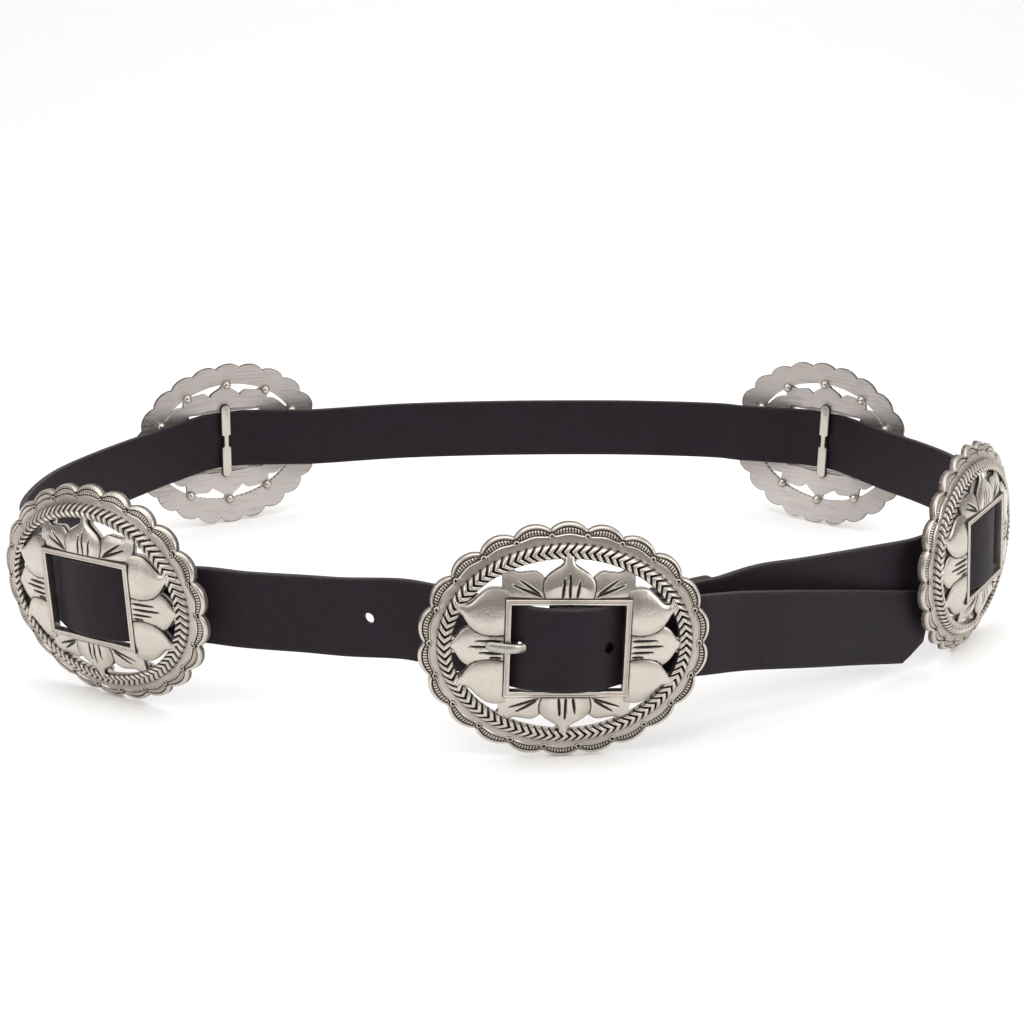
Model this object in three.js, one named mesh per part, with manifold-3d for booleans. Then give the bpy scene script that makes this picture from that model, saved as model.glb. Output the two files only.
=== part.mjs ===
// Concho belt: a leather strap closed in a loop through four pierced metal conchos
// and a fifth one that is the buckle. Units are mm, +Z up, the buckle faces -Y.
import * as THREE from 'three';
import Module from 'manifold-3d';

const wasm = await Module();
wasm.setup();

// Driving dimensions
const STRAP_WIDTH = 25.4;
const STRAP_THICK = 2.3;
const HOLE_SPACING = 26.9;
const HOLE_DIAMETER = 3.7;
const TONGUE_HOLE = -14.2;                // along the strap from the buckle's bar
const CLEAR = 0.3;                        // between pieces that touch in the real belt
const BAR_CLEAR = 0.45;                   // between the back bar and the strap over it

const TIP_A = 43.7, TIP_B = 36.35;        // half width and half height over the scallop tips
const NOTCH_DEPTH = 1.95;                 // from a tip in to the notches beside it
const SCALLOPS = 22;
const RING_OUT_A = 37.9, RING_OUT_B = 30.5;
const RING_WIDTH = 4.2;
const RING_RISE = 1.3;
const RIM_WIDTH = 1.3, RIM_RISE = 0.55;
const EDGE_THICK = 1.6;
const DOME_RISE = 6.4;                    // from the edge's front up to the petals at the window
const PLATE_THICK = 2.0;
const WINDOW_X = 16.65, WINDOW_Y = 13.15; // half sizes of the window in a concho
const FRAME_WIDTH = 1.8, FRAME_RISE = 0.6, FRAME_THICK = 2.8;
const BAR_WIDTH = 4.5, BAR_THICK = 1.8, BAR_LENGTH = 33.5;
const WAIST_WIDTH = 2.4, WAIST_LENGTH = 4.4;
const BALL_RADIUS = 1.6;
const BALLS = [0, 20.2, 50.5, 90];        // directions of the balls on the back, degrees

const TONGUE_WIDTH = 3.0, TONGUE_THICK = 1.6;

// Sizes that follow from those above
const NOTCH_A = TIP_A - NOTCH_DEPTH, NOTCH_B = TIP_B - NOTCH_DEPTH;
const RING_IN_A = RING_OUT_A - RING_WIDTH, RING_IN_B = RING_OUT_B - RING_WIDTH;
const FRAME_TOP = EDGE_THICK + DOME_RISE + FRAME_RISE, FRAME_BOTTOM = FRAME_TOP - FRAME_THICK;
const BAR_FRONT = FRAME_BOTTOM + 0.6, BAR_BACK = BAR_FRONT - BAR_THICK;

// Half length and half depth of the closed loop, over everything
const LOOP_X = 181.5, LOOP_Y = 138.1;

// Where each concho stands: centre in shares of the loop, turn about Z, lean of its top towards
// the loop's inside, roll in its own plane
const PLACES = {
  buckle:             { x: 0.059, y: -0.923, turn: 5.5,   lean: 2.5,  roll: -2.1 },
  concho_right_front: { x: 0.850, y: -0.265,  turn: 54.9,  lean: 3.2,  roll: 2.9 },
  concho_right_back:  { x: 0.719, y: 0.774,  turn: 139.4, lean: 0.4,  roll: 0.8 },
  concho_left_back:   { x: -0.711, y: 0.772,  turn: 212.8, lean: 3.2,  roll: 0.2 },
  concho_left_front:  { x: -0.746, y: -0.619,  turn: -30.3, lean: -2.2, roll: 0.2 },
};

const rad = (d) => d * Math.PI / 180;

function placeMatrix(p) {
  const t = rad(p.turn), l = rad(p.lean), r = rad(p.roll);
  const u = new THREE.Vector3(Math.cos(t), Math.sin(t), 0);
  const n = new THREE.Vector3(Math.sin(t), -Math.cos(t), 0);
  const z = new THREE.Vector3(0, 0, 1);
  const v = z.clone().multiplyScalar(Math.cos(l)).addScaledVector(n, -Math.sin(l));
  const n2 = n.clone().multiplyScalar(Math.cos(l)).addScaledVector(z, Math.sin(l));
  const u2 = u.clone().multiplyScalar(Math.cos(r)).addScaledVector(v, Math.sin(r));
  const v2 = v.clone().multiplyScalar(Math.cos(r)).addScaledVector(u, -Math.sin(r));
  // The lowest scallop touches the floor.
  const low = Math.hypot(TIP_A * u2.z, TIP_B * v2.z) + Math.max(0, -n2.z * EDGE_THICK);
  return new THREE.Matrix4().makeBasis(u2, v2, n2).setPosition(p.x * LOOP_X, p.y * LOOP_Y, low);
}

// A mesh under construction: rows of points joined into strips
class Skin {
  constructor() { this.p = []; this.t = []; }
  row(points) {
    return points.map(([x, y, z]) => { this.p.push(x, y, z); return this.p.length / 3 - 1; });
  }
  strip(a, b) {
    const n = a.length, m = b.length;
    if (m === n) {
      for (let i = 0; i < n; i++) {
        const j = (i + 1) % n;
        this.t.push(a[i], b[i], b[j], a[i], b[j], a[j]);
      }
    } else if (m === 2 * n) {
      for (let i = 0; i < n; i++) {
        const j = (i + 1) % n, k = (2 * i + 2) % m;
        this.t.push(a[i], b[2 * i], b[2 * i + 1], a[i], b[2 * i + 1], a[j], a[j], b[2 * i + 1], b[k]);
      }
    } else {
      for (let i = 0; i < m; i++) {
        const j = (i + 1) % m, k = (2 * i + 2) % n;
        this.t.push(a[2 * i], b[i], a[2 * i + 1], a[2 * i + 1], b[i], b[j], a[2 * i + 1], b[j], a[k]);
      }
    }
  }
  solid() {
    return new wasm.Manifold(new wasm.Mesh({
      numProp: 3, vertProperties: new Float32Array(this.p), triVerts: new Uint32Array(this.t),
    }));
  }
}

function solidFrom(geometry) {
  const g = geometry.index ? geometry : geometry.clone();
  const pos = g.attributes.position, keys = new Map(), p = [], map = [];
  for (let i = 0; i < pos.count; i++) {
    const k = [pos.getX(i), pos.getY(i), pos.getZ(i)].map((c) => Math.round(c * 1e4) + 0).join();
    if (!keys.has(k)) { keys.set(k, p.length / 3); p.push(pos.getX(i), pos.getY(i), pos.getZ(i)); }
    map.push(keys.get(k));
  }
  const src = g.index ? Array.from(g.index.array) : map.map((_, i) => i), t = [];
  for (let i = 0; i < src.length; i += 3) {
    const [a, b, c] = [map[src[i]], map[src[i + 1]], map[src[i + 2]]];
    if (a !== b && b !== c && a !== c) t.push(a, b, c);
  }
  return new wasm.Manifold(new wasm.Mesh({
    numProp: 3, vertProperties: new Float32Array(p), triVerts: new Uint32Array(t),
  }));
}

function prism(points, from, to) {
  const shape = new THREE.Shape(points.map(([x, y]) => new THREE.Vector2(x, y)));
  const g = new THREE.ExtrudeGeometry(shape, { depth: to - from, bevelEnabled: false, curveSegments: 1 });
  return solidFrom(g.translate(0, 0, from));
}

function geometryFrom(solid, matrix) {
  const m = solid.getMesh(), np = m.numProp, n = m.vertProperties.length / np;
  const p = new Float32Array(n * 3);
  for (let i = 0; i < n; i++) for (let k = 0; k < 3; k++) p[3 * i + k] = m.vertProperties[np * i + k];
  const g = new THREE.BufferGeometry();
  g.setAttribute('position', new THREE.BufferAttribute(p, 3));
  g.setIndex(Array.from(m.triVerts));
  if (matrix) g.applyMatrix4(matrix);
  return g;
}

// The domed sheet: front surface height at a point, and the back surface under it
function domeFront(x, y) {
  const r = Math.hypot(x / TIP_A, y / TIP_B);
  const s = Math.min(1, Math.max(0, (r - 0.42) / 0.58));
  return EDGE_THICK + DOME_RISE * (1 - s ** 1.35);
}
function domeBack(x, y) {
  const r = Math.hypot(x / TIP_A, y / TIP_B);
  const thick = PLATE_THICK + (EDGE_THICK - PLATE_THICK) * Math.min(1, Math.max(0, (r - 0.75) / 0.2));
  return Math.max(0, domeFront(x, y) - thick);
}

// Angles that divide the notch ellipse into equal lengths, starting in a notch at
// the right end, so that a scallop is centred at the top and at the bottom
function evenAngles(count) {
  const fine = 7200, len = [0];
  for (let i = 1; i <= fine; i++) {
    const a = 2 * Math.PI * (i - 1) / fine, b = 2 * Math.PI * i / fine;
    len.push(len[i - 1] + Math.hypot(NOTCH_A * (Math.cos(b) - Math.cos(a)), NOTCH_B * (Math.sin(b) - Math.sin(a))));
  }
  const out = [];
  let j = 0;
  for (let i = 0; i < count; i++) {
    const want = len[fine] * i / count;
    while (len[j + 1] < want) j++;
    out.push(2 * Math.PI * (j + (want - len[j]) / (len[j + 1] - len[j])) / fine);
  }
  return out;
}

const COLUMNS = 4 * SCALLOPS;
const ANGLES = evenAngles(COLUMNS);
const BULGE = [0, 0.8, 1, 0.8];           // a scallop's arc from notch to notch

function scallopRow(inset, height) {
  return ANGLES.map((t, i) => {
    const s = BULGE[i % 4];
    const a = NOTCH_A + (TIP_A - NOTCH_A) * s - inset, b = NOTCH_B + (TIP_B - NOTCH_B) * s - inset;
    const x = a * Math.cos(t), y = b * Math.sin(t);
    return [x, y, height(x, y)];
  });
}
function ovalRow(a, b, height) {
  return ANGLES.filter((_, i) => i % 2 === 0).map((t) => {
    const x = a * Math.cos(t), y = b * Math.sin(t);
    return [x, y, height(x, y)];
  });
}

// Turns the faces counter-clockwise, then swaps diagonals until every triangle is
// as compact as it can be, so that flat faces follow the dome
function shortEdges(points, faces) {
  const cross = (a, b, c) => (points[b].x - points[a].x) * (points[c].y - points[a].y)
    - (points[b].y - points[a].y) * (points[c].x - points[a].x);
  const t = faces.map(([a, b, c]) => (cross(a, b, c) > 0 ? [a, b, c] : [a, c, b]));
  const inCircle = (a, b, c, d) => {
    const m = [a, b, c].map((i) => [points[i].x - points[d].x, points[i].y - points[d].y]);
    const q = m.map(([x, y]) => x * x + y * y);
    return m[0][0] * (m[1][1] * q[2] - m[2][1] * q[1]) - m[0][1] * (m[1][0] * q[2] - m[2][0] * q[1])
      + q[0] * (m[1][0] * m[2][1] - m[2][0] * m[1][1]) > 1e-6;
  };
  for (let round = 0, changed = true; changed && round < 60; round++) {
    changed = false;
    const owner = new Map();
    t.forEach((f, i) => f.forEach((a, k) => owner.set(a + '_' + f[(k + 1) % 3], i)));
    const done = new Set();
    for (const [key, i] of owner) {
      const [a, b] = key.split('_').map(Number), j = owner.get(b + '_' + a);
      if (j === undefined || done.has(i) || done.has(j)) continue;
      const c = t[i].find((v) => v !== a && v !== b), d = t[j].find((v) => v !== a && v !== b);
      if (inCircle(a, b, c, d) && cross(c, a, d) > 1e-3 && cross(d, b, c) > 1e-3) {
        t[i] = [c, a, d];
        t[j] = [d, b, c];
        done.add(i).add(j);
        changed = true;
      }
    }
  }
  return t;
}

// The three gaps of one quarter of the pierced work, between petals and rope ring.
// Each point is a direction in degrees and a share of the way from the frame to the ring.
const QUARTER_GAPS = [
  [[84.7, 0.96], [70.1, 0.96], [53, 0.97], [55.8, 0.83], [65, 0.79], [71.1, 0.52], [74.8, 0.66], [83.6, 0.82]],
  [[46.3, 0.94], [36.6, 0.93], [25.1, 0.95], [31.8, 0.85], [37.1, 0.77], [40.8, 0.47]],
  [[16.6, 0.96], [10.9, 0.96], [5.4, 0.96], [9, 0.87], [12, 0.76]],
];
// Points that keep the triangles small, and the four quarters' signs
const INSIDE = [[90, 0.45], [0, 0.5], [55, 0.45], [22, 0.51], [34.3, 0.51]];
const QUARTERS = [[1, 1], [-1, 1], [-1, -1], [1, -1]];
const FRAME_A = WINDOW_X + FRAME_WIDTH, FRAME_B = WINDOW_Y + FRAME_WIDTH;
function between(angle, share) {
  const c = Math.cos(rad(angle)), n = Math.sin(rad(angle));
  const from = Math.min(FRAME_A / Math.max(c, 1e-9), FRAME_B / Math.max(n, 1e-9));
  const to = 1 / Math.hypot(c / RING_IN_A, n / RING_IN_B);
  const r = from + share * (to - from);
  return [angle === 90 ? 0 : r * c, angle === 0 ? 0 : r * n];
}
// The same point in all four quarters, or twice if it lies on an axis
function mirrored([x, y]) {
  if (x === 0) return [[0, y], [0, -y]];
  if (y === 0) return [[x, 0], [-x, 0]];
  return QUARTERS.map(([a, b]) => [a * x, b * y]);
}

function makeCasting() {
  const skin = new Skin();
  const raised = (h) => (x, y) => domeFront(x, y) + h;
  const inner = skin.row(ovalRow(RING_IN_A, RING_IN_B, domeFront));
  const crestIn = skin.row(ovalRow(RING_IN_A + 0.7, RING_IN_B + 0.7, raised(RING_RISE)));
  const crestOut = skin.row(ovalRow(RING_OUT_A - 0.8, RING_OUT_B - 0.8, raised(RING_RISE)));
  const outer = skin.row(ovalRow(RING_OUT_A, RING_OUT_B, domeFront));
  const rim = skin.row(scallopRow(RIM_WIDTH, raised(RIM_RISE)));
  const edge = skin.row(scallopRow(0, () => EDGE_THICK));
  const under = skin.row(scallopRow(0, () => 0));
  const innerBack = skin.row(ovalRow(RING_IN_A, RING_IN_B, domeBack));
  const rows = [inner, crestIn, crestOut, outer, rim, edge, under, innerBack];
  for (let i = 0; i + 1 < rows.length; i++) skin.strip(rows[i], rows[i + 1]);

  // The pierced sheet inside the ring shares the ring's inner rows.
  const holes = [];
  for (const g of QUARTER_GAPS) {
    for (const [sx, sy] of QUARTERS) {
      const h = g.map(([t, r]) => between(t, r)).map(([x, y]) => new THREE.Vector2(x * sx, y * sy));
      holes.push(THREE.ShapeUtils.isClockWise(h) ? h : h.reverse());
    }
  }
  // A side's middle point stands out a little: the triangulation drops a point in line.
  const around = (x, y) => [[x + 0.03, 0], [x, -y], [0, -y - 0.03], [-x, -y], [-x - 0.03, 0], [-x, y], [0, y + 0.03], [x, y]];
  const inside = INSIDE.flatMap(([t, r]) => mirrored(between(t, r)));
  holes.push(around(FRAME_A, FRAME_B).map(([x, y]) => new THREE.Vector2(x, y)));
  const contour = ovalRow(RING_IN_A, RING_IN_B, domeFront).map(([x, y]) => new THREE.Vector2(x, y));
  const loose = inside.map(([x, y]) => [new THREE.Vector2(x, y)]);
  const all = [...contour, ...holes.flat(), ...loose.flat()];
  const faces = shortEdges(all, THREE.ShapeUtils.triangulateShape(contour, [...holes, ...loose]));
  const front = [...inner], back = [...innerBack];
  const walls = [...holes, ...loose].map((h) => {
    const f = skin.row(h.map((q) => [q.x, q.y, domeFront(q.x, q.y)]));
    const b = skin.row(h.map((q) => [q.x, q.y, domeBack(q.x, q.y)]));
    front.push(...f);
    back.push(...b);
    return [f, b];
  });
  for (const [f, b] of walls.slice(0, holes.length - 1)) skin.strip(f, b);
  for (const [a, b, c] of faces) skin.t.push(front[a], front[b], front[c], back[a], back[c], back[b]);

  // Frame round the window, raised above the sheet
  const [foot, footBack] = walls[holes.length - 1];
  const ring = (x, y, z) => skin.row(around(x, y).map(([a, b]) => [a, b, z]));
  const frame = [foot, ring(FRAME_A, FRAME_B, FRAME_TOP), ring(WINDOW_X, WINDOW_Y, FRAME_TOP),
    ring(WINDOW_X, WINDOW_Y, FRAME_BOTTOM), footBack];
  for (let i = 0; i + 1 < frame.length; i++) skin.strip(frame[i], frame[i + 1]);
  let solid = skin.solid();

  // Bar across the window's back, narrow in its middle
  const hw = BAR_WIDTH / 2, hl = BAR_LENGTH / 2, nw = WAIST_WIDTH / 2, nl = WAIST_LENGTH / 2;
  const side = [[hw - 1.2, -hl], [hw, -hl + 1.2], [hw, -nl - 0.8], [nw, -nl], [nw, nl], [hw, nl + 0.8], [hw, hl - 1.2], [hw - 1.2, hl]];
  const bar = prism([...side, ...side.slice().reverse().map(([x, y]) => [-x, y])], BAR_BACK, BAR_FRONT);
  solid = solid.add(bar);

  // Small balls on the back where the petals meet the ring
  const ball = new THREE.CylinderGeometry(BALL_RADIUS * 0.45, BALL_RADIUS, BALL_RADIUS, 4, 1).rotateX(-Math.PI / 2);
  for (const [x, y] of BALLS.flatMap((t) => mirrored(between(t, 1)))) {
    solid = solid.add(solidFrom(ball.clone().translate(x, y, domeBack(x, y) - 0.3)));
  }
  return solid.simplify(0.1);
}

// Where the strap's middle runs in a concho's own frame: over the bar in an arc of
// the given radius, then behind the plate at the given slope
const SEAT = BAR_FRONT + BAR_CLEAR + STRAP_THICK / 2;
function seatDepth(x, slope, radius, top) {
  const a = rad(slope), e = Math.abs(x), xa = radius * Math.sin(a);
  if (e < xa) return top - (radius - Math.sqrt(radius * radius - e * e));
  return top - radius * (1 - Math.cos(a)) - (e - xa) * Math.tan(a);
}

const M = {};
for (const [k, p] of Object.entries(PLACES)) M[k] = placeMatrix(p);
const at = (k, x, d) => new THREE.Vector3(x, 0, d).applyMatrix4(M[k]);
const up = (k) => new THREE.Vector3().setFromMatrixColumn(M[k], 1);

// Control points of the strap's middle line, from the flap's end round to the tail
const route = [];
const add = (p, v) => route.push({ p, v: v || null });
const local = (x, d) => add(at('buckle', x, d), up('buckle'));
// A point as shares of the loop's half length and half depth, and of a concho's half height
const spot = (x, y, z) => new THREE.Vector3(x * LOOP_X, y * LOOP_Y, z * TIP_B);
function plan(points) {
  for (const [x, y, z] of points) add(spot(x, y, z));
}
const STATIONS = [0.25, 0.5, 0.75, 1, 1.4, 1.8, 2.17];     // shares of the window's half width
function through(k, left, right) {
  const reach = STATIONS.map((f) => f * WINDOW_X);
  for (const x of [...reach.map((v) => -v).reverse(), 0, ...reach]) {
    const [slope, radius] = x < 0 ? left : right;
    add(at(k, x, seatDepth(x, slope, radius, SEAT)), up(k));
  }
}

// Fixed end in the buckle's frame, as drops below its height on the bar. It comes
// round the bar and its flap lies inside.
const LAYER = STRAP_THICK + CLEAR;
const FIXED = [[2.4, 0.1], [5, 0.75], [8, 2.0], [12, 4.3], [17, 7.6], [24, 12.6], [32, 18.6], [40, 24],
  [45.5, 27.9], [52, 31.6]].map(([x, drop]) => [x, SEAT - drop]);
const TURN_X = -2.1, TURN_D = (BAR_FRONT + BAR_BACK) / 2, TURN_R = SEAT - TURN_D;
const PARTED = [2 * TURN_R - LAYER - 0.05, 1.5, 0.4];
const flap = FIXED.map(([x, d], i) => {
  const [x0, d0] = FIXED[Math.max(0, i - 1)], [x1, d1] = FIXED[Math.min(FIXED.length - 1, i + 1)];
  const l = Math.hypot(x1 - x0, d1 - d0), off = LAYER + (PARTED[i] || 0);
  return [x + off * (d1 - d0) / l, d - off * (x1 - x0) / l];
});
for (const [x, d] of flap.slice().reverse()) local(x, d);
for (const a of [-90, -60, -30, 0, 30, 60, 90]) {
  local(TURN_X - TURN_R * Math.cos(rad(a)), TURN_D + TURN_R * Math.sin(rad(a)));
}
for (const [x, d] of FIXED) local(x, d);
plan([[0.406, -0.667, 0.963], [0.483, -0.616, 0.952], [0.561, -0.563, 0.946], [0.642, -0.510, 0.946]]);
through('concho_right_front', [24, 31], [30, 33]);
plan([[0.943, 0.130, 1.029], [0.934, 0.275, 1.018], [0.901, 0.416, 1.007]]);
through('concho_right_back', [24, 31], [27, 33]);
plan([[0.499, 0.936, 1.015], [0.300, 0.959, 1.029], [0.099, 0.960, 1.034], [-0.102, 0.947, 1.034], [-0.302, 0.924, 1.023]]);
through('concho_left_back', [24, 31], [27, 33]);
plan([[-0.940, 0.340, 0.996], [-0.987, 0.140, 0.996], [-0.997, -0.043, 0.996], [-0.979, -0.224, 0.996]]);
through('concho_left_front', [28, 33], [25, 32]);
plan([[-0.487, -0.723, 0.974], [-0.381, -0.744, 0.966], [-0.311, -0.769, 0.974]]);

// The tail's pass over the bar, above the fixed end, and its free end
const TOP = SEAT + LAYER;
for (const [x, drop] of [[-46.7, 29.8], [-40, 26], [-32, 20.2], [-24, 13.5]]) local(x, TOP - drop);
for (const x of [-17, -12, -8, -4, 0]) local(x, seatDepth(x, 44, 24, TOP));
for (const [x, drop] of [[4, 0.4], [8, 1.8], [12, 4.1], [17, 7.5], [24, 10.3], [31, 12.1], [41, 14.2]]) local(x, TOP - drop);
function leaning(lean) {
  const inward = new THREE.Vector3(-Math.sin(rad(38)), Math.cos(rad(38)), 0);
  return inward.multiplyScalar(Math.sin(rad(lean))).setZ(Math.cos(rad(lean)));
}
for (const [x, y, z, lean] of [[0.361, -0.791, 0.875, 2], [0.436, -0.736, 0.809, 2], [0.518, -0.663, 0.710, 2],
  [0.603, -0.581, 0.600, 1.5], [0.689, -0.503, 0.490, 0.5], [0.749, -0.443, 0.413, 0]]) {
  add(spot(x, y, z), leaning(lean));
}

// Fine samples of the route, each with its upright direction
const curve = new THREE.CatmullRomCurve3(route.map((r) => r.p), false, 'centripetal');
const STEPS = 10;
const samples = [];
{
  const n = route.length;
  const dist = [0];
  for (let i = 1; i < n; i++) dist.push(dist[i - 1] + route[i].p.distanceTo(route[i - 1].p));
  const ups = route.map((r, i) => {
    if (r.v) return r.v;
    let a = i, b = i;
    while (!route[a].v) a--;
    while (!route[b].v) b++;
    const f = (dist[i] - dist[a]) / (dist[b] - dist[a]);
    return route[a].v.clone().lerp(route[b].v, f).normalize();
  });
  for (let i = 0; i + 1 < n; i++) {
    for (let s = 0; s < STEPS; s++) {
      const f = s / STEPS;
      samples.push({ p: curve.getPoint((i + f) / (n - 1)), v: ups[i].clone().lerp(ups[i + 1], f).normalize() });
    }
  }
  samples.push({ p: route[n - 1].p.clone(), v: ups[n - 1].clone() });
  samples.forEach((q, i) => {
    const a = samples[Math.max(0, i - 1)].p, b = samples[Math.min(samples.length - 1, i + 1)].p;
    q.t = b.clone().sub(a).normalize();
    q.v.addScaledVector(q.t, -q.v.dot(q.t)).normalize();
    q.n = q.t.clone().cross(q.v);
    q.s = i ? samples[i - 1].s + q.p.distanceTo(samples[i - 1].p) : 0;
  });
}
// Length along the strap is counted from the bar, in the tail's pass.
let zero = 0;
{
  const c = at('buckle', 0, TOP);
  let best = 1e9;
  for (const q of samples) { const d = q.p.distanceTo(c); if (d < best) { best = d; zero = q.s; } }
}
const sampleAt = (s) => samples.reduce((m, q) => (Math.abs(q.s - s) < Math.abs(m.s - s) ? q : m));

// The strap is swept with a station wherever it has turned enough.
function makeStrap() {
  const keep = [samples[0]];
  for (let i = 1; i + 1 < samples.length; i++) {
    const l = keep[keep.length - 1], q = samples[i];
    const turned = Math.acos(Math.min(1, l.t.dot(q.t))) + 0.6 * Math.acos(Math.min(1, l.v.dot(q.v)));
    const most = q.s - l.s > 22;
    if (turned > rad(l.s < 70 ? 18 : 9.6) || most) keep.push(q);
  }
  keep.push(samples[samples.length - 1]);
  const skin = new Skin();
  const w = STRAP_WIDTH / 2, h = STRAP_THICK / 2;
  const total = samples[samples.length - 1].s;
  const section = (q, half) => skin.row([[-half, -h], [half, -h], [half, h], [-half, h]].map(([a, b]) => {
    const c = q.p.clone().addScaledVector(q.v, a).addScaledVector(q.n, b);
    return [c.x, c.y, c.z];
  }));
  // Clipped corners at both ends
  const rows = [];
  rows.push(section(samples[0], w - 3));
  const first = sampleAt(4);
  rows.push(section(first, w));
  for (const q of keep.slice(1, -1)) if (q.s > first.s + 2 && q.s < total - 11) rows.push(section(q, w));
  rows.push(section(sampleAt(total - 9), w));
  rows.push(section(samples[samples.length - 1], w - 7.5));
  for (let i = 0; i + 1 < rows.length; i++) skin.strip(rows[i + 1], rows[i]);
  const a = rows[0], b = rows[rows.length - 1];
  skin.t.push(a[0], a[2], a[1], a[0], a[3], a[2], b[0], b[1], b[2], b[0], b[2], b[3]);
  return skin.solid();
}

function drill(solid, s, half) {
  const q = sampleAt(s);
  const g = new THREE.CylinderGeometry(HOLE_DIAMETER / 2, HOLE_DIAMETER / 2, half * 2, 10);
  const m = new THREE.Matrix4().makeBasis(q.t, q.n, q.v.clone().multiplyScalar(-1)).setPosition(q.p);
  if (m.determinant() < 0) m.makeBasis(q.t, q.n, q.t.clone().cross(q.n)).setPosition(q.p);
  return solid.subtract(solidFrom(g.applyMatrix4(m)));
}

// Tongue: a ring round the bar's waist and an arm that comes up through the strap
// Each point of the arm: across, up from the bar's middle or from the frame's top, and aside
const ARM_BAR = (BAR_FRONT + BAR_BACK) / 2;
const TONGUE_LINE = [[-1.6, ARM_BAR + 1.95, 0], [-4.5, ARM_BAR + 1.8, 0], [-8, ARM_BAR + 1.45, 0.1],
  [-10.4, FRAME_TOP - 1.6, 0.2], [-12.6, FRAME_TOP - 0.7, 0.4], [-14.8, FRAME_TOP + 0.6, 0.7],
  [-16.8, FRAME_TOP + 1.15, 1.0], [-18.8, FRAME_TOP + 1.05, 1.25], [-21.5, FRAME_TOP + 0.4, 1.55],
  [-24.6, FRAME_TOP - 0.6, 1.9]];
function makeTongue(extra) {
  const skin = new Skin();
  const w = TONGUE_WIDTH / 2 + extra, h = TONGUE_THICK / 2 + extra;
  const rows = TONGUE_LINE.map(([x, d, y], i) => {
    const [x0, d0] = TONGUE_LINE[Math.max(0, i - 1)], [x1, d1] = TONGUE_LINE[Math.min(TONGUE_LINE.length - 1, i + 1)];
    const l = Math.hypot(x1 - x0, d1 - d0), nx = (d1 - d0) / l, nd = -(x1 - x0) / l;
    const e = i === TONGUE_LINE.length - 1 ? 0.55 : 1;
    const ring = [[-1, -1], [-1, 0.2], [-0.5, 1], [0.5, 1], [1, 0.2], [1, -1]];
    return skin.row(ring.map(([a, b]) => [x + nx * b * h * e, y + a * w * e, d + nd * b * h * e]));
  });
  for (let i = 0; i + 1 < rows.length; i++) skin.strip(rows[i + 1], rows[i]);
  const a = rows[0], b = rows[rows.length - 1];
  for (let i = 1; i + 1 < 6; i++) skin.t.push(a[0], a[i + 1], a[i], b[0], b[i], b[i + 1]);
  let solid = skin.solid();
  if (solid.volume() < 0) throw new Error('tongue is inside out');
  const disc = (r, l, n) => solidFrom(new THREE.CylinderGeometry(r, r, l, n)).translate([0, 0, ARM_BAR]);
  solid = solid.add(disc(3.05 + extra, 2 * w, 12));
  return solid.subtract(disc(1.8 - extra, 2 * w + 2, 10));
}

const casting = makeCasting();
const tongue = makeTongue(0);

let strap = makeStrap();
if (strap.volume() < 0) throw new Error('strap is inside out');
for (let i = -2; i <= 2; i++) {
  strap = drill(strap, zero + TONGUE_HOLE + i * HOLE_SPACING, STRAP_THICK / 2 + (i >= 0 ? 0.12 : 1));
}
// Slot in the fixed end for the tongue's ring, and room for the arm
const under = TOP - STRAP_THICK / 2;
const slot = [[-6.3, TURN_D - 3.9], [3.9, TURN_D - 3.9], [3.9, under - 0.12], [-2, under - 0.14], [-4.2, under - 0.65],
  [-6.3, under - 2.05]];
const toBuckle = (solid) => solidFrom(geometryFrom(solid, M.buckle));
strap = strap.subtract(toBuckle(prism(slot, -2.4, 2.4).rotate([90, 0, 0])));
strap = strap.subtract(toBuckle(makeTongue(CLEAR)));

// Rivet that holds the flap, hidden behind the buckle
const RIVET_X = 31;
function makeRivet(extra) {
  const i = FIXED.findIndex(([x]) => x > RIVET_X);
  const [x0, d0] = FIXED[i - 1], [x1, d1] = FIXED[i];
  const f = (RIVET_X - x0) / (x1 - x0), d = d0 + f * (d1 - d0);
  const a = Math.atan2(d1 - d0, x1 - x0);
  const body = (r, lo, hi) => solidFrom(new THREE.CylinderGeometry(r, r, hi - lo, 14).rotateX(Math.PI / 2)
    .translate(0, 0, (lo + hi) / 2));
  let s = body(1.9 + extra, -LAYER - STRAP_THICK / 2 - 1.2, STRAP_THICK / 2 + 0.9);
  if (!extra) {
    s = s.add(body(4.2, STRAP_THICK / 2 + 0.4, STRAP_THICK / 2 + 1.3));
    s = s.add(body(4.2, -LAYER - STRAP_THICK / 2 - 1.4, -LAYER - STRAP_THICK / 2 - 0.5));
  }
  return s.rotate([0, -a * 180 / Math.PI, 0]).translate([RIVET_X, 0, d]);
}
strap = strap.subtract(toBuckle(makeRivet(0.3)));

const metal = () => new THREE.MeshStandardMaterial({ color: '#8f9399', metalness: 0.9, roughness: 0.38 });
const leather = () => new THREE.MeshStandardMaterial({ color: '#2b2629', metalness: 0, roughness: 0.6 });

const group = new THREE.Group();
group.name = 'concho_belt';
function piece(name, geometry, material) {
  const g = geometry.toNonIndexed();
  g.computeVertexNormals();
  const m = new THREE.Mesh(g, material);
  m.name = name;
  group.add(m);
}
piece('strap', geometryFrom(strap), leather());
for (const name of Object.keys(PLACES)) piece(name, geometryFrom(casting, M[name]), metal());
piece('tongue', geometryFrom(tongue, M.buckle), metal());
piece('flap_rivet', geometryFrom(makeRivet(0), M.buckle), metal());

// Centre the belt on the origin in plan and stand it on the floor.
const box = new THREE.Box3();
group.children.forEach((m) => { m.geometry.computeBoundingBox(); box.union(m.geometry.boundingBox); });
const shift = box.getCenter(new THREE.Vector3());
group.children.forEach((m) => m.geometry.translate(-shift.x, -shift.y, -box.min.z));

export default group;
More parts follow.
